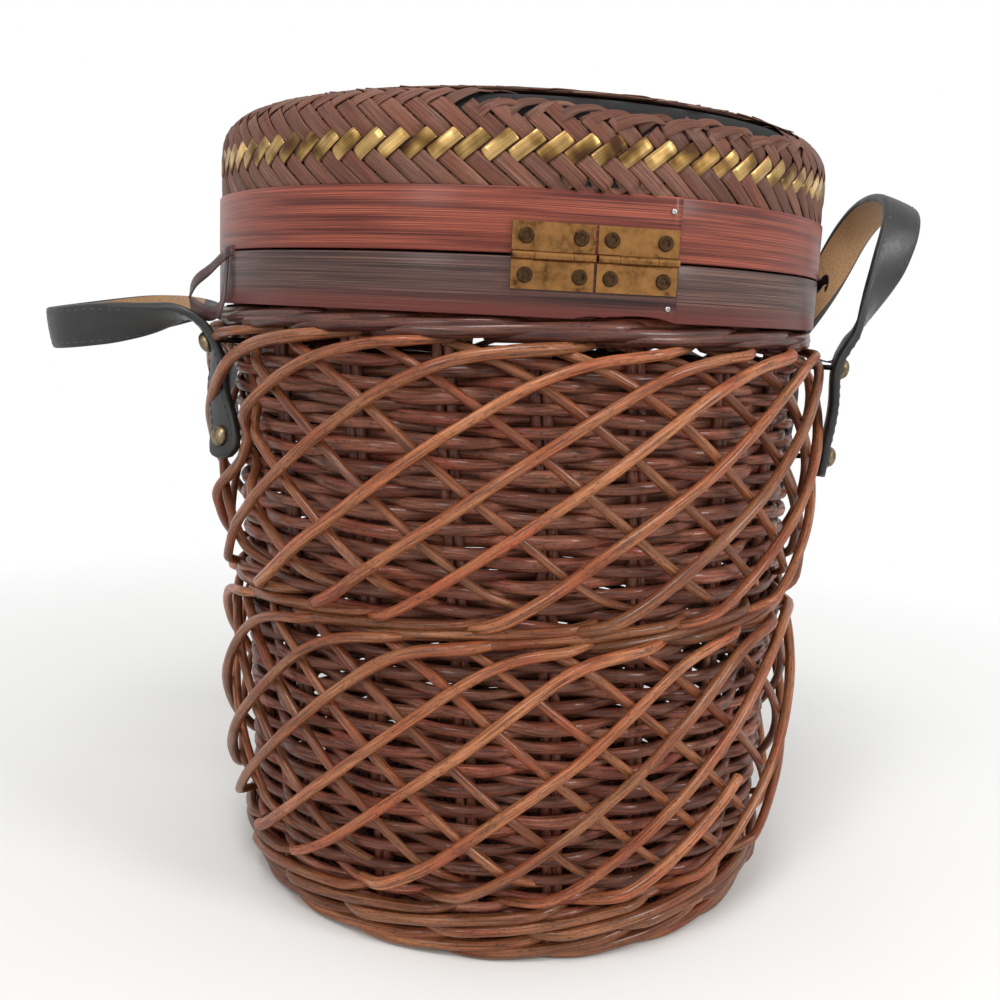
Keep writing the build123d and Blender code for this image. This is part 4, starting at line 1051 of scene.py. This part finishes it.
class BASKET_OT_lid_plait(bpy.types.Operator):
    """Plait the lid's wall and shoulder, with its brass strips"""

    bl_idname = "basket.lid_plait"
    bl_label = "Lid plait"

    def execute(self, context):
        width = context.scene.basket_sizes.plait_strip_width / MM
        draw = random.Random(41)
        plait = Strands()
        self.strips(plait, draw, width)
        self.folds(plait, draw)
        seat(plait.make("lid_plait_strips", [plait_material()]), "lid", "plait", "lid_plait")
        self.brass(draw, width)
        return {"FINISHED"}

    def strips(self, plait, draw, width):
        """Strips that rise and strips that fall, each over some rows and under the others"""
        for slant, over in ((1, RISING_OVER), (-1, FALLING_OVER)):
            for index in range(PLAIT_STRIPS):
                top_row = TOP_ROW
                edge_turn = (index + slant * 3) * PLAIT_PITCH
                torn = in_tear(edge_turn)
                if torn:
                    top_row = TORN_ROW if slant > 0 else draw.uniform(5.0, 6.4) - tear_drop(edge_turn)
                row = np.arange(FIRST_ROW, top_row + 0.01, 0.17)
                turn = (index + slant * 0.5 * row) * PLAIT_PITCH + draw.uniform(-0.12, 0.12)
                turn = turn + 0.12 * sway(row / 2, index + 200 * slant)
                lift = plait_lift(row, over, 0.6) + 0.2 * sway(row, index * 3 + slant)
                if torn and slant < 0:
                    lift = lift + 0.9 * np.clip(row - 5.0, 0, 2) * draw.uniform(-0.3, 1.0)
                reach = ROW_START + ROW_RISE * row
                path = plait_place(turn, reach, lift)
                across = width_line(path, turn, reach, lift)
                narrowing = np.linalg.norm(path[:, :2], axis=1) / PLAIT_RADIUS
                breadth = width * narrowing * draw.uniform(0.95, 1.0)
                plait.strip(path, across, breadth, STRIP_THICKNESS, draw.uniform(0.7, 1.3), crown=0.06)

    def folds(self, plait, draw):
        """At the tear the rising strips fold over the edge of the plait in flat points"""
        share = np.linspace(0, 1, 16)
        for index in range(PLAIT_STRIPS):
            start_turn = (index + 2.5) * PLAIT_PITCH
            if not in_tear(start_turn, -1.0):
                continue
            crest = draw.uniform(6.0, 6.8) - tear_drop(start_turn)
            row = np.interp(share, [0, 0.35, 0.7, 1], [4.7, crest - 0.35, crest, crest - 0.3])
            reach = ROW_START + ROW_RISE * row
            turn = start_turn + np.interp(share, [0, 1], [-1.0, draw.uniform(4.6, 8.0)])
            turn = turn + draw.uniform(-0.3, 0.3)
            lift = np.interp(share, [0, 0.25, 0.8, 1], [-0.4, 0.9, 1.0, 0.2]) + draw.uniform(-0.1, 0.5)
            path = plait_place(turn, soften(reach, 3) + draw.uniform(-0.8, 0.8), lift)
            breadth = draw.uniform(0.75, 1.15) * np.interp(share, [0, 0.3, 1], [5.6, 4.4, 1.8])
            across = width_line(path, turn, reach, lift)
            plait.strip(path, across, breadth, 0.6, draw.uniform(0.6, 1.25), crown=0.15)

    def brass(self, draw, width):
        """A strip of brass over each rising strip, along two rows"""
        brass = Strands()
        row = np.arange(1.42, 3.6, 0.12)
        reach = ROW_START + ROW_RISE * row
        for index in range(PLAIT_STRIPS):
            turn = (index + 0.5 * row) * PLAIT_PITCH + draw.uniform(-0.1, 0.1)
            lift = plait_lift(row, RISING_OVER, 0.5) + FOIL_LIFT + 0.08 * sway(row, index)
            path = plait_place(turn, reach, lift)
            breadth = width * draw.uniform(0.9, 0.97)
            across = width_line(path, turn, reach, lift)
            brass.strip(path, across, breadth, FOIL_THICKNESS, draw.uniform(0.75, 1.2), crown=0.25)
        bands = brass.make("lid_brass_bands", [brass_strip_material()])
        seat(bands, "lid", "brass_strips", "lid_brass_strips")


class BASKET_OT_lid_top(bpy.types.Operator):
    """Build the plaited top panel and the broken strips along the tear, and finish the lining, painted near
    black as the shade inside the lid
    """

    bl_idname = "basket.lid_top"
    bl_label = "Lid top"

    def execute(self, context):
        draw = random.Random(51)
        panel = Strands()
        self.strips(panel, draw)
        self.board(panel)
        self.loose_ends(panel, draw)
        seat(panel.make("lid_top_plait", [plait_material()]), "lid", "plait", "lid_top_panel")
        # The lining's near black is painted shade of the closed lid's inside
        finish_nodes(lining_material(), "lid_lining")
        return {"FINISHED"}

    def strips(self, panel, draw):
        """Strips both ways across the lid, each over two and under two"""
        count = int(TOP_REACH // TOP_PITCH)
        for direction in (0, 1):
            for index in range(-count, count + 1):
                aside = index * TOP_PITCH
                span = math.sqrt(TOP_REACH ** 2 - aside ** 2)
                if span < 8:
                    continue
                along = np.arange(-span, span + 0.1, 1.75)
                phase = (np.round(along / TOP_PITCH) - index) % 4
                over = (phase < 2) == (direction == 0)
                crown = TOP_CROWN * (1 - (along ** 2 + aside ** 2) / TOP_REACH ** 2)
                height = TOP_HEIGHT + crown * 0.9 + soften(np.where(over, 0.42, -0.42), 2)
                place, across = [along, np.full_like(along, aside)], (0.0, 1.0, 0.0)
                if direction == 1:
                    place, across = place[::-1], (-1.0, 0.0, 0.0)
                path = np.stack([*place, height], -1)
                breadth = TOP_STRIP * draw.uniform(0.95, 1.0)
                panel.strip(path, across, breadth, STRIP_THICKNESS, draw.uniform(0.72, 1.25), crown=0.1)

    def board(self, panel):
        """The strip that binds the panel's edge, and a thin board under the plait"""
        turns = np.arange(0, 361, 3.0)
        rim = polar(turns[:-1], BINDING_RADIUS, BINDING_HEIGHT)
        ring = np.concatenate([rim, rim[:1]])
        out = away_from_axis(ring)
        rows = np.stack([ring + out * aside + UP * above for aside, above in BINDING_SECTION], 1)
        around = np.arange(len(ring))[:, None] * 6.0
        panel.add(rows, grain_field(rows.shape, around, np.arange(6)[None, :], 0.0), 0.55, caps=False)
        board = np.stack([polar(turns, radius, height) for radius, height in BOARD_SECTION], 1)
        panel.add(board, board, 0.35, caps=False)

    def loose_ends(self, panel, draw):
        """Broken ends of strips that hang on along the tear"""
        share = np.linspace(0, 1, 12)
        for _ in range(LOOSE_ENDS):
            turn = draw.uniform(TEAR[0] - 3, TEAR[1] + 2)
            length = draw.uniform(7, 24)
            slope = draw.choice([-1, 1]) * draw.uniform(0.6, 1.0)
            start = draw.uniform(41.5, 47)
            reach = start - draw.uniform(0.0, 3.5) * share
            path = plait_place(turn + slope * share * length / 2.4, reach, 0.6 + draw.uniform(0, 0.8) * share)
            breadth = draw.uniform(1.2, 4.2) * np.interp(share, [0, 0.7, 1], [1, 0.8, 0.2])
            panel.strip(path, width_line(path, turn, reach, 1.0), breadth, 0.4, draw.uniform(0.7, 1.2))


# Handles

HANDLE_TURNS = {"left": -98.0, "right": 82.0}
HANDLE_LIFTS = {"left": -9.0, "right": 71.0}
# How far the far leg of a handle is lifted and its near leg lowered
HANDLE_SKEWS = {"left": 2.4, "right": 0.0}
# How far the legs of a handle lie nearer the basket at the joint than at the arch
HANDLE_SAGS = {"left": 0.0, "right": 3.0}
TAB_LOW_OUT = {"left": 157.0, "right": 159.0}
TAB_HIGH_OUT = {"left": 152.76, "right": 159.26}
JOINT_OUT = {"left": 160.12, "right": 166.62}
JOINT_HEIGHT = 280.25
LOWER_RIVET, UPPER_RIVET = 221.5, 266.5
# Half the distance between the legs, how much each leans in, how far the arch reaches and its corners' radius
HANDLE_SPREAD, HANDLE_NARROWING, HANDLE_REACH, HANDLE_CORNER = 43.7, 4.0, 74.35, 32.0
LEGS_END = HANDLE_REACH - HANDLE_CORNER
# The front tabs are pressed in between the lattice rods: how far at the upper and at the lower rivet, how far
# the lower end leans along the wall, and how many degrees the face turns from the wall's at both rivets
TAB_LEANS = {("left", -1): (4.5, 18.0, 13.0, 2.0, 30.0), ("right", 1): (3.0, 4.5, 0.0, 0.0, 0.0)}
# Lengths along a leg, and the share of a quarter turn that the strap has twisted there
LEG_TWISTS = ((0.0, 0.1), (8.0, 0.24), (17.0, 0.4), (27.0, 0.58), (37.0, 0.76))
# What is left of the twist at the start of a corner, by the angle round it
CORNER_TWISTS = {0: 0.26, 22.5: 0.1}
STRAP_THICKNESS = 4.3
# The suede shows on the back of the strap where both tips are further away than this
SUEDE_START = 82
# How far from each tip the seams start, how far in from the strap's edges they lie, half a stitch's length,
# and the thread's radius
SEAM_START, SEAM_INSET, STITCH_HALF, THREAD_RADIUS = 6, 2.3, 1.5, 0.36
# How far points along a stitch lie off the strap's face, where a value under 0 lies in the leather
STITCH_DIP = np.array([-0.6, -0.24, -0.16, -0.24, -0.6])
CAP_RADIUS, CAP_HEIGHT, SHANK_RADIUS, SHANK_FOOT = 5.1, 3.9, 1.3, 132.0
# Knots of a wire tie: steps away from the tab's back, and steps in from the leg's middle
TIE_KNOTS, WIRE_RADIUS = ((0.5, 4), (-3.0, 6), (-6.0, 8), (-11.0, 10)), 0.4


def leather_material():
    """Cowhide, dyed black and rolled: fine pebble grain, a soft sheen and paler rubbed patches."""
    colour = bpy.context.scene.basket_colours.leather
    material, shader = start_material("dyed_black_cowhide", Roughness=0.42, Specular_IOR_Level=0.5)
    grain = attribute(material, "grain", "Vector")
    wear = noise(material, grain, 0.12, 6.0, 0.6)
    dyed = ramp(material, wear, tones(colour, (0.35, 0.7), (0.6, 1.3), (0.78, 2.4)))
    link(material, dyed, shader.inputs["Base Color"])
    link(material, remap(material, wear, (0.3, 0.7), (0.34, 0.55)), shader.inputs["Roughness"])
    # Pebbles of about 0.9 mm
    inputs = {"Vector": grain, "Scale": 1 / 0.9}
    pebble = add_node(material, "ShaderNodeTexVoronoi", inputs, feature="SMOOTH_F1")
    bump(material, shader, 0.4, 0.14, pebble.outputs["Distance"])
    return material


def suede_material():
    """Flesh side of the hide, left undyed: tan with a short nap and darker handled patches."""
    colour = bpy.context.scene.basket_colours.suede
    material, shader = start_material(
        "undyed_flesh_side_hide", Roughness=0.85, Sheen_Weight=0.25, Sheen_Roughness=0.5
    )
    nap = noise(material, attribute(material, "grain", "Vector"), 0.9, 6.0, 0.7)
    tan = ramp(material, nap, tones(colour, (0.3, 0.6), (0.55, 1.0), (0.75, 1.3)))
    link(material, tan, shader.inputs["Base Color"])
    bump(material, shader, 0.4, 0.2, nap)
    return material


def mottled_material(name, scale, dark, pale, **values):
    """Thin thread or lacquered wire: two close tones, mottled by a fine noise."""
    material, shader = start_material(name, **values)
    mottle = noise(material, None, scale, 2.0)
    tint = ramp(material, mottle, [(0.3, shade(dark)), (0.7, shade(pale))])
    link(material, tint, shader.inputs["Base Color"])
    return material


def smooth_line(points, widths, step, passes=3):
    """Even points along a smooth line through the given ones, their width directions and lengths along it."""
    dense, dense_widths = [], []
    padded = np.concatenate([2 * points[:1] - points[1:2], points, 2 * points[-1:] - points[-2:-1]])
    for index in range(len(points) - 1):
        before, start, end, after = padded[index:index + 4]
        for share in np.linspace(0, 1, 12, endpoint=False):
            square, cube = share ** 2, share ** 3
            curve = 2 * start + (end - before) * share + (2 * before - 5 * start + 4 * end - after) * square
            dense.append(0.5 * (curve + (3 * start - before - 3 * end + after) * cube))
            dense_widths.append(widths[index] * (1 - share) + widths[index + 1] * share)
    dense = np.array(dense + [points[-1]])
    dense_widths = np.array(dense_widths + [widths[-1]])
    length = run_along(dense)
    even = np.linspace(0, length[-1], int(length[-1] / step))
    line = soften(pick_along(even, length, dense), passes)
    return line, unit(pick_along(even, length, dense_widths)), even


def handle_directions(side):
    """Direction away from the basket at the middle of a handle, and direction along the wall there."""
    away = outward(HANDLE_TURNS[side])
    return away, np.cross(away, UP)


def tab_leg(side, sign, away, along):
    """Points and width directions of one tab, from its tip up to the joint."""
    inset_high, inset_low, lean, turned_high, turned_low = TAB_LEANS.get((side, sign), (0.0,) * 5)
    low, high = TAB_LOW_OUT[side], TAB_HIGH_OUT[side]
    proud = max(low, high)
    route = (
        (low - 0.6, 212.2), (low - 0.2, 217), (low, LOWER_RIVET), (low + 0.5, 228), (proud + 1.6, 237),
        (proud + 2.3, 245), (high + 2.0, 253), (high + 0.5, 260), (high, UPPER_RIVET), (high + 1.2, 272.5),
    )
    points, widths = [], []
    for out, height in route:
        share = np.clip((UPPER_RIVET - height) / (UPPER_RIVET - LOWER_RIVET), 0, 1.25)
        aside = HANDLE_SPREAD + lean * share ** 1.3
        # Above the upper rivet the tab comes back out to the joint
        pressed = math.sin(min(share, 1.0) * math.pi / 2) ** 0.9
        inward = (inset_high + (inset_low - inset_high) * pressed) * np.clip((280 - height) / 8, 0, 1)
        points.append(away * (out - inward) + UP * height + along * aside * sign)
        turned = turned_high + (turned_low - turned_high) * share
        face = math.atan2(HANDLE_SPREAD, high) + math.radians(turned)
        if height > UPPER_RIVET:
            face *= 0.8
        widths.append(sign * along * math.cos(face) - away * math.sin(face))
    return points, widths


def loop_leg(side, sign, along, rising, upper, joint):
    """Points and width directions of half a handle's loop, from the joint to the top of the arch."""
    foot = joint + along * HANDLE_SPREAD * sign
    skew = upper * HANDLE_SKEWS[side] * sign
    points, widths = [], []
    for run, share in LEG_TWISTS:
        swing = math.radians(90 * share)
        sag = HANDLE_SAGS[side] * (1 - run / LEGS_END)
        place = foot + rising * run + upper * sag - along * sign * HANDLE_NARROWING * run / HANDLE_REACH
        points.append(place + skew * min(1, run / 17))
        widths.append(sign * along * math.cos(swing) + upper * math.sin(swing))
    centre = HANDLE_SPREAD - HANDLE_NARROWING - HANDLE_CORNER
    for angle in (0, 22.5, 45, 67.5, 90):
        swing = math.radians(angle)
        aside = centre + HANDLE_CORNER * math.cos(swing)
        place = joint + rising * (LEGS_END + HANDLE_CORNER * math.sin(swing)) + along * sign * aside
        points.append(place + skew * aside / HANDLE_SPREAD)
        widths.append(upper + sign * along * CORNER_TWISTS.get(angle, 0.0))
    return points, widths


def handle_frames(side):
    """Middle line of a handle from tip to tip, its width directions, lengths along it, and its joint."""
    away, along = handle_directions(side)
    lift = math.radians(HANDLE_LIFTS[side])
    rising = away * math.cos(lift) + UP * math.sin(lift)
    upper = UP * math.cos(lift) - away * math.sin(lift)
    joint = away * JOINT_OUT[side] + UP * JOINT_HEIGHT
    legs = []
    for sign in (1, -1):
        tab, loop = tab_leg(side, sign, away, along), loop_leg(side, sign, along, rising, upper, joint)
        legs.append((tab[0] + loop[0], tab[1] + loop[1]))
    points, widths = [np.array(legs[0][part] + legs[1][part][::-1]) for part in (0, 1)]
    return (*smooth_line(points, widths, 2.0, 20), joint)


def bend_piece(piece):
    """Bakes a piece's place into its mesh."""
    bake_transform(piece)


class BASKET_OT_handles(bpy.types.Operator):
    """Build the leather handles with their seams and wire ties"""

    bl_idname = "basket.handles"
    bl_label = "Leather handles"

    def execute(self, context):
        sizes = context.scene.basket_sizes
        leather, suede = leather_material(), suede_material()
        thread = mottled_material("waxed_black_thread", 900.0, "242323", "565452", Roughness=0.6)
        caps = Strands()
        for side in ("left", "right"):
            line, width, run, joint = handle_frames(side)
            normal = unit(np.cross(unit(np.gradient(line, axis=0)), width))
            ends = np.minimum(run, run[-1] - run)
            breadth = sizes.strap_width / MM * np.interp(ends, [0, 1.5, 4, 8], [0.4, 0.72, 0.93, 1.0])
            strap = Strands()
            strap.belt(line, width, breadth, STRAP_THICKNESS, (ends > SUEDE_START).astype(int))
            piece = strap.make(f"leather_strap_{side}", [leather, suede])
            bend_piece(piece)
            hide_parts(f"handle_strap_{side}", f"handle_lining_{side}", f"handle_tabs_{side}")
            seam = Strands()
            self.stitch(seam, line, width, normal, run, breadth, sizes.stitch_pitch / MM)
            bend_piece(seam.make(f"strap_stitches_{side}", [thread]))
            self.rivet(caps, side, line, normal)
        # Brass caps gone grey-green, closed over tubular rivets
        cap = metal_material("aged_domed_brass", "8c7c62", "4e4234", 0.34, 4.0, 0.22)
        # The shanks cross the gap between each tab and the wall, and their near-black colour is painted shade
        shank = metal_material("painted_shade_rivet_shank", "2c2620", "181412", 0.5, 3.0, 0.2)
        seat(caps.make("domed_rivets", [shank, cap]), "basket", "aged_brass_rivet", "handle_rivets")
        finish_nodes(cap, "handle_washers")
        self.tie()
        return {"FINISHED"}

    def stitch(self, seam, line, width, normal, run, breadth, pitch):
        """Stitches of both seams, each a short thread that dips into the leather at its ends"""
        for edge in (-1, 1):
            for number in range(int((run[-1] - 2 * SEAM_START) / pitch)):
                centre = SEAM_START + number * pitch
                marks = np.linspace(centre - STITCH_HALF, centre + STITCH_HALF, len(STITCH_DIP))
                base, wide, face = [pick_along(marks, run, values) for values in (line, width, normal)]
                inset = np.interp(marks, run, breadth) / 2 - SEAM_INSET
                sunk = STRAP_THICKNESS / 2 + STITCH_DIP
                path = base + wide * (edge * inset)[:, None] + face * sunk[:, None]
                seam.rod(path, THREAD_RADIUS, 1.0, facing=face.mean(0), sides=5)

    def rivet(self, caps, side, line, normal):
        """A domed cap on the face of each tab at both rivets, with its shank through the wall"""
        away, along = handle_directions(side)
        proud = max(TAB_LOW_OUT[side], TAB_HIGH_OUT[side])
        middle = len(line) // 2
        for first, last in ((0, middle), (middle, len(line))):
            for height in (LOWER_RIVET, UPPER_RIVET):
                # The point of this tab that is nearest to the rivet's height, not one on the loop
                leg = line[first:last]
                miss = np.abs(leg[:, 2] - height) + 4 * np.maximum(leg @ away - proud - 3, 0)
                place = int(np.argmin(miss)) + first
                facing = normal[place]
                centre = line[place] + facing * (STRAP_THICKNESS / 2 + 0.1)
                foot = away * SHANK_FOOT + along * (line[place] @ along) + UP * height
                shank = np.stack([foot, line[place] - facing, centre + facing * 0.3])
                caps.rod(shank, SHANK_RADIUS, 1.0, facing=UP, sides=10)
                caps.dome(centre, facing, CAP_RADIUS, CAP_HEIGHT, slot=1)

    def tie(self):
        """Two wires from the border to the upper rivet of each tab"""
        draw = random.Random(61)
        wire = mottled_material(
            "lacquered_black_wire", 600.0, "121010", "2e2725", Roughness=0.35, Metallic=0.0, Coat_Weight=0.4
        )
        ties = Strands()
        for side in HANDLE_TURNS:
            away, along = handle_directions(side)
            out = TAB_HIGH_OUT[side] - STRAP_THICKNESS / 2
            for sign in (-1, 1):
                for strand in (0, 1):
                    swing = draw.uniform(-0.8, 0.8)
                    rises = (2 + 2 * strand, 2.5 + swing, 3 - 2 * swing, 4 + swing)
                    knots = []
                    for (step, aside), rise in zip(TIE_KNOTS, rises):
                        knot = away * (out + step) + along * sign * (HANDLE_SPREAD - aside)
                        knots.append(knot + UP * (UPPER_RIVET + rise))
                    line, _, _ = smooth_line(np.array(knots), np.tile(along, (4, 1)), 0.8)
                    ties.rod(line, WIRE_RADIUS, 1.0, sides=6)
        seat(ties.make("rivet_wire_ties", [wire]), "basket", "black_wire", "wire_ties")


# Lid stays

# Each stay starts inside the basket and comes out through the seam: turn, radius, height
STAY_ROUTES = {
    "left": [
        (-70.0, 131.5, 292), (-70.0, 131.8, 303), (-70.2, 134, 307.1), (-70.8, 150.4, 307.3),
        (-74, 152.6, 304.5), (-79, 156.0, 299), (-84.5, 161.0, 294), (-88.5, 164.0, 289),
        (-89.2, 164.6, 285.2), (-87.5, 163.0, 282.0), (-83, 159.0, 279.6), (-78.5, 155.4, 278.8),
        (-75, 153.4, 281), (-73.2, 152.4, 287), (-72.6, 152.0, 296), (-72.2, 151.6, 303),
        (-72.0, 150.6, 307.2), (-72.0, 143, 307.3),
    ],
    "right": [
        (79.0, 131.5, 292), (79.0, 131.8, 303), (79.0, 134, 307.1), (79.0, 150.4, 307.3), (77.8, 151.7, 307),
        (73.5, 151.9, 306.5), (69, 152.1, 306.8), (66, 152.8, 308.2), (64.3, 154.5, 308.8),
        (63.6, 155.2, 306.5), (64.2, 153.8, 303.8),
    ],
}
STAY_THICKNESS, OUTSIDE_SEAM = 0.55, 151.3
# Width of a stay at shares of its length
STAY_SHARES, STAY_WIDTHS = [0, 0.3, 0.45, 0.6, 0.8, 1], [5.0, 5.0, 6.5, 9.0, 6.0, 4.0]


class BASKET_OT_stays(bpy.types.Operator):
    """Build the thin strips that hang from the seam"""

    bl_idname = "basket.stays"
    bl_label = "Lid stays"

    def execute(self, context):
        # A thin strip, stained red-brown like the hoops: dull, with a fine grain along it
        stained = wood_material("stained_thin_strip", "4a302f", "6a3c40", (1.2, 20), 0.5, 0.2, 0.2)
        for side, route in STAY_ROUTES.items():
            knots = np.array([polar(*knot) for knot in route])
            line, _, run = smooth_line(knots, np.cross(away_from_axis(knots), UP), 0.9)
            # Outside the seam the strip's face lies along the hoop, whichever way the strip runs
            facing = np.cross(np.gradient(line, axis=0), away_from_axis(line))
            outside = np.flatnonzero(np.linalg.norm(line[:, :2], axis=1) > OUTSIDE_SEAM)
            first, last = outside[0], outside[-1]
            facing[:first], facing[last:] = facing[first], facing[last]
            breadth = np.interp(run / run[-1], STAY_SHARES, STAY_WIDTHS)
            strip = Strands()
            strip.strip(line, unit(soften(facing, 4)), breadth, STAY_THICKNESS, 1.0)
            piece = strip.make(f"stay_strip_{side}", [stained])
            seat(piece, "basket", "brown_strip", f"lid_stay_{side}")
        return {"FINISHED"}


# Stage

# Name, place in metres, size in metres and power in watts
LAMPS = (
    ("overhead_softbox", (-0.3, -0.7, 1.4), 0.42, 8.0),
    ("front_left_softbox", (-1.1, -1.2, 0.9), 0.4, 4.4),
    ("front_right_softbox", (1.0, -1.1, 0.9), 0.4, 9.0),
)
LAMP_AIM = Vector((0, 0, 0.18))
# The surroundings are white to the camera and in reflections, and a little darker as a light
SKY_LIGHT, SKY_SEEN = 0.72, 1.0
# Half the floor's side, and the distances over which it turns white, in metres
FLOOR_REACH, FLOOR_FADE = 8, (0.26, 0.75)
# The photograph's camera, measured from the ellipses of the rim and the foot: degrees, millimetres, pixels
CAMERA_AZIMUTH, CAMERA_PITCH, CAMERA_ROLL, CAMERA_YAW = -11.7, 9.6, 2.7, -0.38
CAMERA_DISTANCE, CAMERA_HEIGHT = 576.2, 283.8
FOCAL_PIXELS, PICTURE_PIXELS, SENSOR_WIDTH = 1085.55, 1000, 36.0


class BASKET_OT_stage(bpy.types.Operator):
    """Place the floor, the soft lights and the camera"""

    bl_idname = "basket.stage"
    bl_label = "Stage"

    def execute(self, context):
        scene = context.scene
        scene.view_settings.view_transform = "Standard"
        self.floor(scene)
        self.lights(scene)
        self.camera(scene)
        return {"FINISHED"}

    def lights(self, scene):
        """A white world and three soft lamps"""
        world = bpy.data.worlds.new("pale_studio")
        scene.world = world
        world.use_nodes = True
        world.node_tree.nodes.clear()
        rays = add_node(world, "ShaderNodeLightPath").outputs
        seen = maths(world, "MAXIMUM", rays["Is Camera Ray"], rays["Is Glossy Ray"])
        seen = maths(world, "MAXIMUM", seen, rays["Is Transmission Ray"])
        strength = remap(world, seen, (0.0, 1.0), (SKY_LIGHT, SKY_SEEN))
        back = add_node(world, "ShaderNodeBackground", {"Color": (1, 1, 1, 1), "Strength": strength})
        add_node(world, "ShaderNodeOutputWorld", {0: back.outputs[0]})
        for name, place, size, power in LAMPS:
            lamp = bpy.data.lights.new(name, "AREA")
            lamp.size = size
            lamp.energy = power
            light = bpy.data.objects.new(name, lamp)
            light.location = place
            aim = LAMP_AIM - Vector(place)
            light.rotation_euler = aim.to_track_quat("-Z", "Y").to_euler()
            scene.collection.objects.link(light)

    def floor(self, scene):
        """Pale floor that keeps the basket's shadow and turns white further out"""
        mesh = bpy.data.meshes.new("pale_floor")
        corners = [(x * FLOOR_REACH, y * FLOOR_REACH, 0) for x, y in ((-1, -1), (1, -1), (1, 1), (-1, 1))]
        mesh.from_pydata(corners, [], [(0, 1, 2, 3)])
        floor = bpy.data.objects.new("pale_floor", mesh)
        scene.collection.objects.link(floor)
        # White paper: matt, barely mottled, and glowing white further out so that it shows no horizon
        material, shader = start_material("matt_white_paper", Roughness=0.9, Specular_IOR_Level=0.1)
        place = object_place(material)
        white = tones(scene.basket_colours.floor, (0.3, 0.97), (0.7, 1.0))
        paper = ramp(material, noise(material, place, 3.0, 2.0), white)
        link(material, paper, shader.inputs["Base Color"])
        reach = add_node(material, "ShaderNodeVectorMath", {0: place}, operation="LENGTH").outputs["Value"]
        far = remap(material, reach, FLOOR_FADE, (0.0, 1.0))
        rays = add_node(material, "ShaderNodeLightPath").outputs
        seen = maths(material, "MAXIMUM", rays["Is Camera Ray"], rays["Is Glossy Ray"])
        glow = add_node(material, "ShaderNodeEmission", {"Color": (1, 1, 1, 1), "Strength": 1.0}).outputs[0]
        parts = {0: maths(material, "MULTIPLY", far, seen), 1: shader.outputs[0], 2: glow}
        both = add_node(material, "ShaderNodeMixShader", parts).outputs[0]
        link(material, both, material.node_tree.nodes["Material Output"].inputs["Surface"])
        mesh.materials.append(material)

    def camera(self, scene):
        """Camera at the photograph's place"""
        pitch, roll, yaw = [math.radians(angle) for angle in (CAMERA_PITCH, CAMERA_ROLL, CAMERA_YAW)]
        ahead = Vector((math.sin(yaw) * math.cos(pitch), math.cos(yaw) * math.cos(pitch), -math.sin(pitch)))
        right = Vector((math.cos(yaw), -math.sin(yaw), 0))
        up = right.cross(ahead)
        rolled_right = math.cos(roll) * right + math.sin(roll) * up
        rolled_up = -math.sin(roll) * right + math.cos(roll) * up
        turned = Matrix.Rotation(math.radians(CAMERA_AZIMUTH), 3, "Z")
        lens = bpy.data.cameras.new("photo_camera")
        lens.sensor_width = SENSOR_WIDTH
        lens.lens = FOCAL_PIXELS * SENSOR_WIDTH / PICTURE_PIXELS
        camera = bpy.data.objects.new("photo_camera", lens)
        matrix = Matrix.Identity(4)
        for column, axis in enumerate((rolled_right, rolled_up, -ahead)):
            for row, part in enumerate(turned @ axis):
                matrix[row][column] = part
        matrix.translation = turned @ Vector((0, -CAMERA_DISTANCE, CAMERA_HEIGHT)) * MM
        camera.matrix_world = matrix
        scene.collection.objects.link(camera)
        scene.camera = camera


STEPS = [
    BASKET_OT_stage,
    BASKET_OT_wall,
    BASKET_OT_lattice,
    BASKET_OT_borders,
    BASKET_OT_base,
    BASKET_OT_hoops,
    BASKET_OT_hinges,
    BASKET_OT_lid_plait,
    BASKET_OT_lid_top,
    BASKET_OT_handles,
    BASKET_OT_stays,
]


class BASKET_PT_panel(bpy.types.Panel):
    """Sizes, colours and steps of the basket"""

    bl_idname = "BASKET_PT_panel"
    bl_label = "Storage basket"
    bl_space_type = "VIEW_3D"
    bl_region_type = "UI"
    bl_category = "Basket"

    def draw(self, context):
        for group in (context.scene.basket_sizes, context.scene.basket_colours):
            box = self.layout.box()
            for name in group.bl_rna.properties.keys():
                if name not in ("rna_type", "name"):
                    box.prop(group, name)
        for step in STEPS:
            self.layout.operator(step.bl_idname)


CLASSES = [BasketSizes, BasketColours, *STEPS, BASKET_PT_panel]


def register():
    for kind in CLASSES:
        bpy.utils.register_class(kind)
    bpy.types.Scene.basket_sizes = bpy.props.PointerProperty(type=BasketSizes)
    bpy.types.Scene.basket_colours = bpy.props.PointerProperty(type=BasketColours)


def unregister():
    del bpy.types.Scene.basket_sizes
    del bpy.types.Scene.basket_colours
    for kind in reversed(CLASSES):
        bpy.utils.unregister_class(kind)


def main():
    """Builds the stage and every piece."""
    register()
    for step in STEPS:
        group, name = step.bl_idname.split(".")
        getattr(getattr(bpy.ops, group), name)()


if __name__ == "__main__":
    main()
